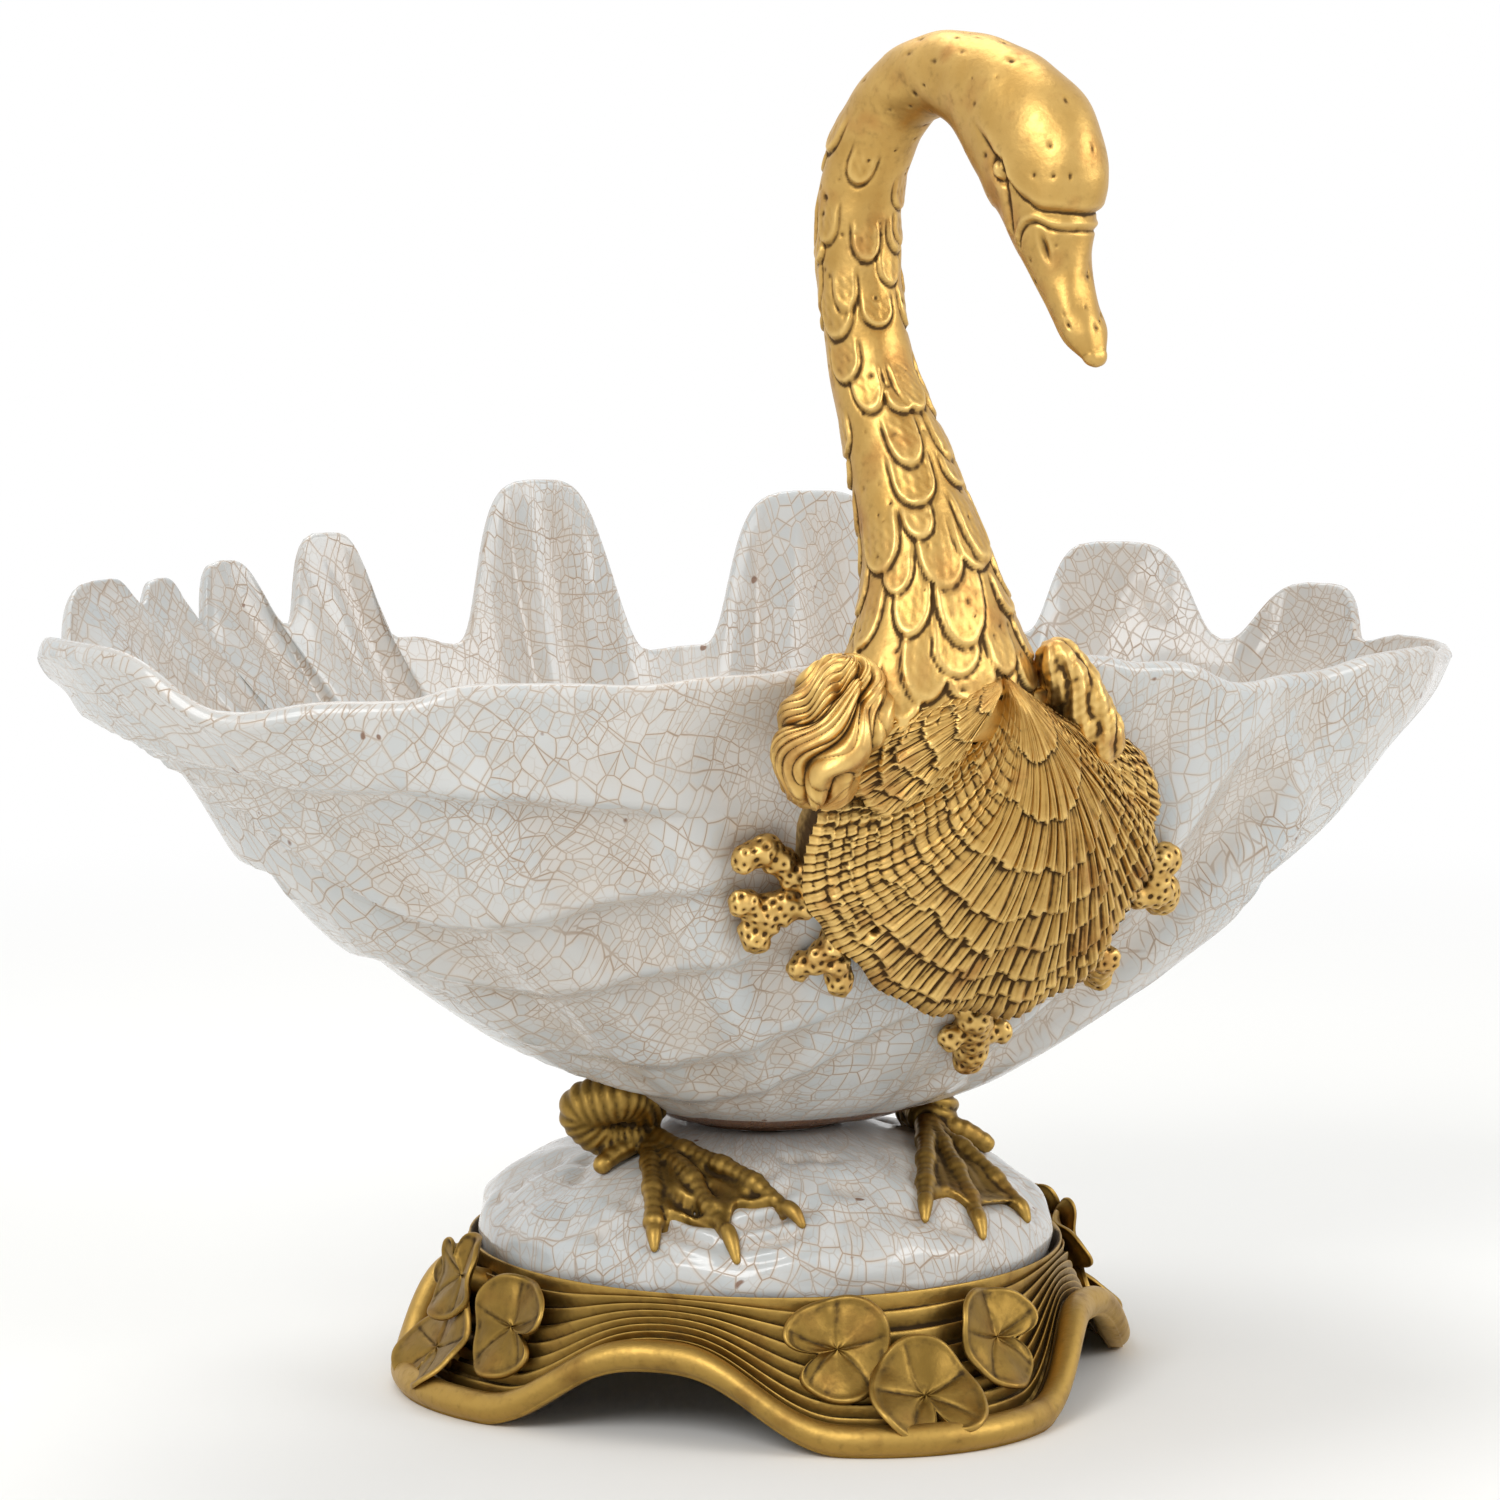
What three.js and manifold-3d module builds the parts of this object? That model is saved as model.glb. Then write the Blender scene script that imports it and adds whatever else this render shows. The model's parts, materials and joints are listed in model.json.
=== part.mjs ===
import * as THREE from 'three';
import { mergeVertices } from 'three/addons/utils/BufferGeometryUtils.js';
import Module from 'manifold-3d';

// Swan-shaped bowl: a crackle-glazed clam-shell bowl on a rock-shaped stand, both porcelain,
// joined by a tie rod and dressed with gilt bronze mounts. Millimetres, Z up.
// The swan faces -Y, the bowl is longest along X, and the stand's axis is X = Y = 0.

// Fits and fasteners
const FIT = 0.3;
const BORE_PLAY = 0.8;
const ROUND_SIDES = 12;
const ROD_RADIUS = 4;
const STUD_RADIUS = 3;
const NUT_WIDTH_PER_ROD = 1.75;
const WASHER_THICKNESS = 1.6;
const STUD_NUT_HEIGHT = 5;
const FOOT_PACKING = 9;
const NECK_PACKING = 11;
const STUD_INTO_BIB = 5;
const STUD_INSIDE = 24;
const STUD_INTO_FOOT = 3;
const PACKING_LAP = 3;
const FOOT_STUD_LENGTH = 24;
const FOOT_DRILL_DEPTH = 30;
const DRILL_CLEAR = 10;
const NECK_DRILL_OUT = 20;
const NECK_DRILL_IN = 30;
const NECK_SOCKET_CLEAR = 6;
const ROD_NUT_HEIGHT = 6.4;
const ROD_END = 2;
const CAP_RISE = 3;

// Radius of each washer per radius of the rod or stud that passes it
const FOOT_WASHER_WIDTH = 2.6;
const NECK_WASHER_WIDTH = 2.4;
const BOWL_WASHER_WIDTH = 3.4;
const BASE_WASHER_WIDTH = 2.2;

// Clam-shell bowl
const BOWL_HALF_LENGTH = 226;
const BOWL_FRONT = 118;
const BOWL_BACK = 120;
const BOWL_CENTRE_Y = -5;
const BOWL_SQUARENESS = 2.3;
const RIM_HEIGHT = 212;
const BOWL_WALL = 6.5;
const RIM_WALL = 4.6;
const BEDDING_THICKNESS = 1.9;
const BEDDING_RADIUS = 24;

// Rock-shaped stand
const ROCK_HALF_X = 87;
const ROCK_HALF_Y = 91;
const ROCK_TOP = 70;
const ROCK_SEAT = 29;
const ROCK_WALL = 7;

// Bronze plinth ring
const PLINTH_DROP = 6;
const LOBE_REACH = 118;
const FRONT_LOBE_REACH = 126;
const ARCH_REACH = 104;
const ARCH_HEIGHT = 20;
const LIP_HEIGHT = 35;
const BEAD_HEIGHT = 9;
const BEAD_WIDTH = 9;
const LEDGE_REACH = 66;
const LEDGE_THICKNESS = 4;
const PLINTH_HOLLOW = 5;
const CLAMP_WIDTH = 18;
const CLAMP_THICKNESS = 5;
const CLAMP_LAP = 7;

// Swan neck and the ornaments on the front wall
const NECK_BASE = new THREE.Vector3(-7, -126, 0);
const NECK_TURN = 16;
const BIB_HALF_WIDTH = 33;
const BIB_ABOVE_RIM = 10;
const BIB_BELOW_RIM = 100;
const BIB_THICKNESS = 7;
const BIB_ASIDE = 30;
const BIB_SIDES = 20;
const BIB_NEAR = 30;
const BIB_FAR = 178;
const UMBO_ABOVE_RIM = 3;
const SCALLOP_LENGTH = 110;
const SCALLOP_DOME = 17;
const SCALLOP_TILT = 25;
const WHELK_ASIDE = 42;
const WHELK_FORWARD = 10;
const WHELK_DROP = 8;
const WHELK_HALF_X = 15.5;
const WHELK_HALF_Y = 15;
const WHELK_HALF_HEIGHT = 21;
const WHELK_LEAN = 4;
const RIDGED_SHELL_END = 5;
const RIDGED_SHELL_SWELL = 4;

// Lily pads
const PAD_THICKNESS = 2.4;
const PAD_STEM_RADIUS = 4.5;
const PAD_STEM_DEPTH = 3;

// Webbed feet
const TOE_RADIUS = 3.3;
const WEB_THICKNESS = 2.2;
const WEB_DEPTH = 2;
const RIGHT_ANKLE_IN_X = 44;
const LEFT_ANKLE_IN_X = 43;
const RIGHT_ANKLE_IN_Y = 83;
const LEFT_ANKLE_IN_Y = 69;
const THIGH_RISE = 16;
const HOCK_RISE = 8;
const TARSUS_RISE = 4;

const rad = THREE.MathUtils.degToRad;
const lerp = THREE.MathUtils.lerp;
const clamp = THREE.MathUtils.clamp;
const smooth = (value) => THREE.MathUtils.smoothstep(value, 0, 1);
const vec = (x, y, z) => new THREE.Vector3(x, y, z);

const wasm = await Module();
wasm.setup();

// Closed meshes and solids

function meshFrom(points, faces) {
  const geometry = new THREE.BufferGeometry();
  const flat = points.flatMap((point) => [point.x, point.y, point.z]);
  geometry.setAttribute('position', new THREE.Float32BufferAttribute(flat, 3));
  geometry.setIndex(faces);
  return geometry;
}

function signedVolume(geometry) {
  const position = geometry.attributes.position;
  const corner = [vec(0, 0, 0), vec(0, 0, 0), vec(0, 0, 0)];
  let sum = 0;
  for (let k = 0; k < geometry.index.count; k += 3) {
    corner.forEach((point, c) => point.fromBufferAttribute(position, geometry.index.getX(k + c)));
    sum += corner[0].dot(corner[1].clone().cross(corner[2]));
  }
  return sum;
}

function solid(source) {
  const bare = source.index ? source.clone() : source.toNonIndexed();
  bare.deleteAttribute('normal');
  bare.deleteAttribute('uv');
  const geometry = mergeVertices(bare, 1e-4);
  const triangles = Uint32Array.from(geometry.index.array);
  if (signedVolume(geometry) < 0) {
    for (let k = 0; k < triangles.length; k += 3) {
      [triangles[k], triangles[k + 1]] = [triangles[k + 1], triangles[k]];
    }
  }
  const vertices = Float32Array.from(geometry.attributes.position.array);
  return new wasm.Manifold(new wasm.Mesh({ numProp: 3, vertProperties: vertices, triVerts: triangles }));
}

// The largest body of a solid, so that a cut leaves no crumbs beside the piece.
function mainBody(shape) {
  const bodies = shape.decompose();
  return bodies.reduce((best, body) => (body.volume() > best.volume() ? body : best));
}

function geometryOf(shape) {
  const mesh = mainBody(shape).getMesh();
  const geometry = new THREE.BufferGeometry();
  geometry.setAttribute('position', new THREE.BufferAttribute(Float32Array.from(mesh.vertProperties), 3));
  geometry.setIndex(Array.from(mesh.triVerts));
  return geometry;
}

// A piece joined with copies of itself moved by the fit each way, as a cutter that keeps its
// neighbours clear of it.
function spaced(shape) {
  const geometry = geometryOf(shape);
  const moves = [[FIT, 0, 0], [-FIT, 0, 0], [0, -FIT, 0], [0, FIT, 0], [0, 0, FIT], [0, 0, -FIT]];
  return moves.reduce((sum, move) => sum.add(solid(geometry.clone().translate(...move))), shape);
}

// A grid that closes on itself both ways, as a ring with a closed section does.
function ringSolid(columns, rows, at) {
  const points = [];
  const faces = [];
  for (let i = 0; i < columns; i += 1) {
    for (let j = 0; j < rows; j += 1) points.push(at(i, j));
  }
  for (let i = 0; i < columns; i += 1) {
    for (let j = 0; j < rows; j += 1) {
      const nextI = (i + 1) % columns;
      const nextJ = (j + 1) % rows;
      const a = i * rows + j;
      const b = nextI * rows + j;
      const c = nextI * rows + nextJ;
      const d = i * rows + nextJ;
      faces.push(a, b, c, a, c, d);
    }
  }
  return solid(meshFrom(points, faces));
}

// Rings of points joined in a row, with a fan of faces on each end.
function loft(rings) {
  const sides = rings[0].length;
  const points = rings.flat();
  const faces = [];
  for (let r = 0; r < rings.length - 1; r += 1) {
    for (let k = 0; k < sides; k += 1) {
      const next = (k + 1) % sides;
      const a = r * sides + k;
      const b = r * sides + next;
      faces.push(a, b, b + sides, a, b + sides, a + sides);
    }
  }
  const ends = [[0, 1, 0], [rings.length - 1, 0, 1]];
  for (const [ring, first, second] of ends) {
    const centre = points.length;
    points.push(rings[ring].reduce((sum, point) => sum.add(point), vec(0, 0, 0)).divideScalar(sides));
    for (let k = 0; k < sides; k += 1) {
      const pair = [ring * sides + k, ring * sides + (k + 1) % sides];
      faces.push(centre, pair[first], pair[second]);
    }
  }
  return solid(meshFrom(points, faces));
}

// A tube through points, with a radius at each point.
function taperedTube(points, radii, sides) {
  const up = vec(0, 0, 1);
  let side = vec(1, 0, 0);
  const rings = points.map((point, k) => {
    const before = points[Math.max(k - 1, 0)];
    const after = points[Math.min(k + 1, points.length - 1)];
    const along = after.clone().sub(before).normalize();
    if (k === 0) side.crossVectors(Math.abs(along.z) > 0.9 ? vec(0, 1, 0) : up, along);
    side = side.clone().addScaledVector(along, -side.dot(along)).normalize();
    const other = along.clone().cross(side);
    return Array.from({ length: sides }, (_, n) => {
      const turn = (2 * Math.PI * n) / sides;
      return point.clone()
        .addScaledVector(side, Math.cos(turn) * radii[k])
        .addScaledVector(other, Math.sin(turn) * radii[k]);
    });
  });
  return loft(rings);
}

function rod(start, end, radius, sides = ROUND_SIDES) {
  return taperedTube([start, end], [radius, radius], sides);
}

function ball(centre, radius, sides = 8) {
  return solid(new THREE.SphereGeometry(radius, sides, Math.max(4, sides / 2))
    .translate(centre.x, centre.y, centre.z));
}

// A nut or washer round an axis, from its seat outwards.
function collar(seat, along, radius, bore, height, sides) {
  const start = seat.clone();
  const end = seat.clone().addScaledVector(along, height);
  const body = rod(start, end, radius, sides);
  const hole = rod(start.clone().addScaledVector(along, -1), end.clone().addScaledVector(along, 1), bore);
  return body.subtract(hole);
}

const studNut = (seat, along) => collar(
  seat,
  along,
  STUD_RADIUS * NUT_WIDTH_PER_ROD,
  STUD_RADIUS + FIT,
  STUD_NUT_HEIGHT,
  6,
);

const pieces = [];
function piece(name, shape, finish) {
  const material = new THREE.MeshStandardMaterial({ name, ...finish });
  const mesh = new THREE.Mesh(geometryOf(shape), material);
  mesh.name = name;
  pieces.push(mesh);
}

const PORCELAIN = { color: 0xd5dadc, roughness: 0.15, metalness: 0 };
const GILT = { color: 0xc3922f, roughness: 0.38, metalness: 1 };
const DULL_GILT = { color: 0x94702c, roughness: 0.45, metalness: 1 };
const BRASS = { color: 0xa88b48, roughness: 0.4, metalness: 1 };
const LEATHER = { color: 0x6b4a2e, roughness: 0.85, metalness: 0 };

// Bowl surface

// Angle about the bowl's centre in degrees from +X towards the back, the rim's height from its mean,
// how far the rim stands out, and how far the wall below it stands out.
const RIM = [
  [-16, -5, -2, -5], [-2, -4, 3, 3], [3, -7, -3, -3], [9, 10, 3, 3],
  [17, -9, -8, -5], [27, 22, 3, 3], [35, -7, -9, -5], [42, -7, -9, -6], [58, 40, 3, 3],
  [76, -8, -9, -6], [85, -9, -9, -6], [101, 46, 3, 3], [117, -4, -9, -6], [125, -1, -8, -5],
  [132, 32, 2, 3], [138.5, 5, -6, -4], [144, 25, 2, 3], [147.8, 5, -4, -3], [151, 21, 1, 2],
  [153.8, 14, -2, -2], [157, 22, 1, 2], [168, 0, -5, -5], [184, 12, 2, 4],
  [198, -4, 0, -5], [209, 0, 0, 4], [218, 5, 0, -4], [229, 4, 0, 3],
  [241, 6, 0, -3], [253, 8, 0, 2], [287, 7, 0, 2], [298, 4, 0, -3],
  [312, -4, 1, 4], [322, -3, -2, -5], [332, 1, 3, 6],
];
const FULL_TURN = 360;

function rimAt(angle) {
  let degrees = angle;
  while (degrees < RIM[0][0]) degrees += FULL_TURN;
  while (degrees >= RIM[0][0] + FULL_TURN) degrees -= FULL_TURN;
  let k = RIM.length - 1;
  while (RIM[k][0] > degrees) k -= 1;
  const from = RIM[k];
  const to = RIM[(k + 1) % RIM.length];
  const span = k + 1 < RIM.length ? to[0] - from[0] : to[0] + FULL_TURN - from[0];
  const u = (degrees - from[0]) / span;
  const rounded = from[1] > to[1] ? u ** 1.3 : 1 - (1 - u) ** 1.3;
  const eased = lerp(smooth(rounded), smooth(smooth(rounded)), 0.6);
  return [1, 2, 3].map((column) => lerp(from[column], to[column], eased));
}

// Share of the height above the foot, then the share of the rim's half-length on the left and on
// the right, and of its half-depth, that the wall has there.
const BOWL_ROWS = [
  [0, 0.14, 0.2, 0.26], [0.047, 0.2, 0.3, 0.38], [0.12, 0.285, 0.39, 0.49],
  [0.21, 0.385, 0.475, 0.59],
  [0.34, 0.51, 0.605, 0.69], [0.484, 0.635, 0.72, 0.77], [0.627, 0.73, 0.835, 0.84],
  [0.77, 0.815, 0.91, 0.91],
  [0.9, 0.915, 0.975, 0.965], [1, 1, 1, 1],
];

function rowShares(height) {
  let k = 0;
  while (k < BOWL_ROWS.length - 2 && BOWL_ROWS[k + 1][0] < height) k += 1;
  const u = (height - BOWL_ROWS[k][0]) / (BOWL_ROWS[k + 1][0] - BOWL_ROWS[k][0]);
  return [1, 2, 3].map((column) => lerp(BOWL_ROWS[k][column], BOWL_ROWS[k + 1][column], u));
}

const BOWL_FOOT = ROCK_TOP + BEDDING_THICKNESS + 2 * FIT;

function plainWall(angle, height) {
  const cos = Math.cos(rad(angle));
  const sin = Math.sin(rad(angle));
  const depth = sin < 0 ? BOWL_FRONT : BOWL_BACK;
  const reach = (Math.abs(cos / BOWL_HALF_LENGTH) ** BOWL_SQUARENESS
    + Math.abs(sin / depth) ** BOWL_SQUARENESS) ** (-1 / BOWL_SQUARENESS);
  const [left, right, across] = rowShares(height);
  const long = lerp(left, right, smooth((1 + cos) / 2));
  return vec(
    reach * cos * long,
    BOWL_CENTRE_Y * smooth(height) + reach * sin * across,
    lerp(BOWL_FOOT, RIM_HEIGHT, height),
  );
}

function wallNormal(angle, height) {
  const low = clamp(height - 0.05, 0, 1);
  const high = clamp(height + 0.05, 0, 1);
  const along = plainWall(angle + 2, height).sub(plainWall(angle - 2, height));
  const upward = plainWall(angle, high).sub(plainWall(angle, low));
  return along.cross(upward).normalize();
}

// A point of the bowl: angle, share of the height, and depth into the wall from outside.
function bowlPoint(angle, height, depth) {
  const [rimLift, rimOut, wallOut] = rimAt(angle);
  const point = plainWall(angle, height);
  const normal = wallNormal(angle, height);
  const outward = vec(normal.x, normal.y, 0).normalize();
  const stand = rimOut * height ** 3 + wallOut * Math.sin(Math.PI * clamp(height, 0, 1));
  point.addScaledVector(outward, stand);
  point.z += (rimLift - RIM_WALL / 2) * height ** 4;
  return point.addScaledVector(normal, -depth);
}

const COLUMN_STEP = 4.6;
const COLUMNS = RIM.flatMap((entry, k) => {
  const next = k + 1 < RIM.length ? RIM[k + 1][0] : RIM[0][0] + FULL_TURN;
  const steps = Math.max(2, Math.ceil((next - entry[0]) / COLUMN_STEP));
  return Array.from({ length: steps }, (_, n) => lerp(entry[0], next, n / steps));
});

const OUTER_HEIGHTS = [0, 0.08, 0.24, 0.44, 0.66, 0.86, 1];
const INNER_HEIGHTS = [0.97, 0.74, 0.42, 0.14, 0];

// The bowl, or with grow the bowl grown on every side, as a cutter for what seats on it.
function bowlSolid(grow) {
  const bore = ROD_RADIUS + BORE_PLAY - grow;
  const lip = OUTER_HEIGHTS.length + 1;
  const rows = OUTER_HEIGHTS.length + INNER_HEIGHTS.length + 3;
  return ringSolid(COLUMNS.length, rows, (i, j) => {
    const angle = COLUMNS[i];
    const around = vec(Math.cos(rad(angle)) * bore, Math.sin(rad(angle)) * bore, 0);
    if (j === 0) return around.setZ(BOWL_FOOT - grow);
    if (j === rows - 1) return around.setZ(BOWL_FOOT + BOWL_WALL + grow);
    if (j < lip) return bowlPoint(angle, OUTER_HEIGHTS[j - 1], -grow);
    if (j === lip) {
      const top = bowlPoint(angle, 1, RIM_WALL / 2);
      top.z += RIM_WALL / 2 + grow;
      return top;
    }
    const height = INNER_HEIGHTS[j - lip - 1];
    const wall = lerp(BOWL_WALL, RIM_WALL, height ** 2);
    const inner = bowlPoint(angle, height, wall + grow);
    if (height === 0) inner.z = BOWL_FOOT + BOWL_WALL + grow;
    return inner;
  });
}

// The bowl's outside as one full body, grown by the given amount.
function bowlBody(grow) {
  const heights = [...OUTER_HEIGHTS, 1.04];
  return loft(heights.map((height) => COLUMNS.map((angle) => bowlPoint(angle, height, -grow))));
}

// Where a level line from outside, at X and Z, meets the bowl's front wall.
function frontWall(x, z) {
  const height = clamp((z - BOWL_FOOT) / (RIM_HEIGHT - BOWL_FOOT), 0, 1);
  let angle = 270;
  for (let pass = 0; pass < 8; pass += 1) {
    const point = bowlPoint(angle, height, 0);
    angle += (x - point.x) * 0.5;
  }
  return bowlPoint(angle, height, 0);
}

// Rock-shaped stand

// Height share between seat and top, and share of the stand's half-widths, outside and inside.
const ROCK_OUTSIDE = [
  [0, 0.985], [0.2, 1], [0.38, 0.98], [0.55, 0.89], [0.72, 0.76], [0.86, 0.59], [1, 0.32],
];
const ROCK_SIDES = 36;

function rockPoint(angle, row, depth) {
  const [height, share] = ROCK_OUTSIDE[row];
  const lump = 1.6 * Math.sin(3 * angle + 1) + 1.2 * Math.sin(5 * angle + 2.3 + 2 * height);
  const loose = Math.sin(Math.PI * clamp((height - 0.2) / 0.75, 0, 1));
  const slope = clamp((height - 0.2) / 0.8, 0, 1);
  const inset = depth * (1 - 0.75 * slope);
  const x = (ROCK_HALF_X * share - inset + lump * loose) * Math.cos(angle);
  const y = (ROCK_HALF_Y * share - inset + lump * loose) * Math.sin(angle);
  return vec(x, y, lerp(ROCK_SEAT + FIT, ROCK_TOP, height) - depth * slope);
}

function rockSolid(grow) {
  const bore = ROD_RADIUS + BORE_PLAY - grow;
  const outside = ROCK_OUTSIDE.length;
  const rows = 2 * outside + 2;
  return ringSolid(ROCK_SIDES, rows, (i, j) => {
    const angle = (2 * Math.PI * i) / ROCK_SIDES;
    if (j < outside) {
      const point = rockPoint(angle, j, -grow);
      if (j === 0) point.z -= grow;
      return point;
    }
    if (j === outside) return vec(bore * Math.cos(angle), bore * Math.sin(angle), ROCK_TOP + grow);
    if (j === outside + 1) {
      return vec(bore * Math.cos(angle), bore * Math.sin(angle), ROCK_TOP - ROCK_WALL - grow);
    }
    const row = rows - 1 - j;
    const point = rockPoint(angle, row, ROCK_WALL + grow);
    if (row === 0) point.z -= grow;
    return point;
  });
}

// Bronze plinth ring

function lobe(angle) {
  return ((1 + Math.cos(4 * angle)) / 2) ** 0.8;
}

function beadBase(angle) {
  return ARCH_HEIGHT * (1 - smooth(lobe(angle) / 0.78)) - PLINTH_DROP;
}

function beadReach(angle) {
  const lobeReach = lerp(LOBE_REACH, FRONT_LOBE_REACH, Math.max(0, -Math.sin(angle)) ** 2);
  return lerp(ARCH_REACH, lobeReach, lobe(angle));
}

function lipReach(angle) {
  const x = (ROCK_HALF_X + FIT + 0.6) * Math.cos(angle);
  const y = (ROCK_HALF_Y + FIT + 0.6) * Math.sin(angle);
  return Math.hypot(x, y);
}

// The sloping top of the ring: share 0 at the stand, 1 at the rolled border.
function plinthTop(angle, share) {
  const outer = beadReach(angle) - BEAD_WIDTH;
  const reach = lerp(lipReach(angle) + 1.5, outer, share);
  const sag = PLINTH_HOLLOW * Math.sin(Math.PI * share) * lobe(angle);
  const z = lerp(LIP_HEIGHT, beadBase(angle) + BEAD_HEIGHT * 0.7, share) - sag;
  return vec(reach * Math.cos(angle), reach * Math.sin(angle), z);
}

const PLINTH_SIDES = 56;

function plinthSolid(grow) {
  const section = (angle) => {
    const lip = lipReach(angle);
    const bead = beadReach(angle);
    const base = beadBase(angle);
    const tops = [0.33, 0.67, 1].map((share) => {
      const point = plinthTop(angle, share);
      return [Math.hypot(point.x, point.y) + 0.4 * grow, point.z + grow];
    });
    return [
      [LEDGE_REACH - grow, ROCK_SEAT + grow],
      [lip - grow, ROCK_SEAT + grow],
      [lip + 1.2, LIP_HEIGHT + grow],
      ...tops,
      [bead - 0.55 * BEAD_WIDTH, base + BEAD_HEIGHT + grow],
      [bead + grow, base + 0.5 * BEAD_HEIGHT],
      [bead - 0.2 * BEAD_WIDTH, base - grow],
      [bead - 0.75 * BEAD_WIDTH, base - grow],
      [lerp(lip, bead, 0.25), lerp(ROCK_SEAT, base, 0.4) - 2],
      [LEDGE_REACH + 12, ROCK_SEAT - LEDGE_THICKNESS - grow],
      [LEDGE_REACH - grow, ROCK_SEAT - LEDGE_THICKNESS - grow],
    ];
  };
  const rows = section(0).length;
  return ringSolid(PLINTH_SIDES, rows, (i, j) => {
    const angle = (2 * Math.PI * i) / PLINTH_SIDES;
    const [reach, z] = section(angle)[j];
    return vec(reach * Math.cos(angle), reach * Math.sin(angle), z);
  });
}

// Swan neck and head

const heading = vec(Math.sin(rad(NECK_TURN)), -Math.cos(rad(NECK_TURN)), 0);
const sideways = vec(Math.cos(rad(NECK_TURN)), Math.sin(rad(NECK_TURN)), 0);
const UP = vec(0, 0, 1);

// Forward of the neck's base, height from the rim, half thickness fore and aft, half width across.
const NECK_LINE = [
  [-3, -6, 21, 33], [-4, 8, 21, 31], [-5, 19, 19, 26], [-7, 29, 18, 22],
  [-10.3, 40.5, 17, 18.8], [-14.4, 50, 16, 16.7], [-20, 64, 14.9, 14.9], [-25, 75, 13.8, 13.8],
  [-30, 87, 12.8, 12.8], [-34, 103, 12.3, 12.3], [-36, 120, 12.4, 12.4], [-35.5, 137, 12.4, 12.4],
  [-29, 154, 12.2, 12.2], [-17, 166.5, 12, 12], [-3, 170.6, 12.3, 12.3], [11, 167.4, 14.7, 13.2],
  [23, 160, 18, 14.8], [32.5, 149.5, 20.3, 15.2], [37, 139, 18.8, 14], [38.8, 130, 14, 12.4],
  [41, 122, 10.6, 10], [44, 114, 8, 8.6], [47.8, 106.5, 6.6, 8], [52, 99.5, 5.6, 7], [54.8, 95, 3.6, 4.6],
];
const NECK_SIDES = 14;

function neckSolid(grow) {
  const centres = NECK_LINE.map(([forward, lift]) => NECK_BASE.clone()
    .addScaledVector(heading, forward)
    .setZ(RIM_HEIGHT + lift));
  const rings = centres.map((centre, k) => {
    const before = centres[Math.max(k - 1, 0)];
    const after = centres[Math.min(k + 1, centres.length - 1)];
    const along = after.clone().sub(before).normalize();
    const fore = sideways.clone().cross(along).normalize();
    const [, , thick, wide] = NECK_LINE[k];
    return Array.from({ length: NECK_SIDES }, (_, n) => {
      const turn = (2 * Math.PI * n) / NECK_SIDES;
      return centre.clone()
        .addScaledVector(sideways, Math.cos(turn) * (wide + grow))
        .addScaledVector(fore, Math.sin(turn) * (thick + grow));
    });
  });
  return loft(rings);
}

// The backing plate that follows the bowl's wall under the shells, as wide as it is tall.
function bibSolid(grow) {
  const centre = NECK_BASE.clone().setZ(RIM_HEIGHT + (BIB_ABOVE_RIM - BIB_BELOW_RIM) / 2);
  const tall = (BIB_ABOVE_RIM + BIB_BELOW_RIM) / 2;
  const outline = (y) => Array.from({ length: BIB_SIDES }, (_, n) => {
    const turn = (2 * Math.PI * n) / BIB_SIDES;
    return vec(
      centre.x + BIB_ASIDE + Math.cos(turn) * (BIB_HALF_WIDTH + grow),
      y,
      centre.z + Math.sin(turn) * (tall + grow),
    );
  });
  const prism = loft([outline(-BIB_FAR), outline(-BIB_NEAR)]);
  return bowlBody(BIB_THICKNESS + grow).subtract(bowlBody(FIT - grow)).intersect(prism);
}

// Scallop shells

const FRONT = vec(0, -1, 0);

// A domed fan: axis turned about the hinge, half spread in degrees, length from hinge to lip.
function scallopSolid(shape, grow) {
  const { hinge, length, dome, spread, turn, tilt, sink, ribs } = shape;
  const down = FRONT.clone().multiplyScalar(-Math.sin(rad(tilt))).addScaledVector(UP, -Math.cos(rad(tilt)));
  const out = FRONT.clone().multiplyScalar(Math.cos(rad(tilt))).addScaledVector(UP, -Math.sin(rad(tilt)));
  const across = vec(1, 0, 0);
  const steps = 2 * ribs;
  const shares = [0.06, 0.2, 0.38, 0.6, 0.82, 1];
  const outlinePoint = (share, k, lift) => {
    const part = k / steps * 2 - 1;
    const angle = rad(part * spread + turn);
    const reach = length * (1 - 0.45 * Math.abs(part) ** 2.6) * share;
    const wave = k % 2 ? 0.8 : -0.8;
    return hinge.clone()
      .addScaledVector(down, Math.cos(angle) * reach)
      .addScaledVector(across, -Math.sin(angle) * reach)
      .addScaledVector(out, lift + wave * share);
  };
  const height = (share, k) => {
    const part = k / steps * 2 - 1;
    const arch = Math.sin(Math.PI * (0.12 + 0.85 * share ** 0.75));
    return dome * arch * (1 - 0.75 * part ** 2) + grow;
  };
  const middle = hinge.clone().addScaledVector(down, length * 0.5);
  const spreadOut = (point) => point.addScaledVector(
    point.clone().sub(middle).projectOnPlane(out).normalize(),
    grow,
  );
  const rings = shares.map((share) => {
    const top = Array.from({ length: steps + 1 }, (_, k) => outlinePoint(share, k, height(share, k)));
    const bottom = Array.from({ length: steps + 1 }, (_, k) => outlinePoint(share, steps - k, -sink));
    return [...top, ...bottom].map((point) => (grow ? spreadOut(point) : point));
  });
  return loft(rings);
}

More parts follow.
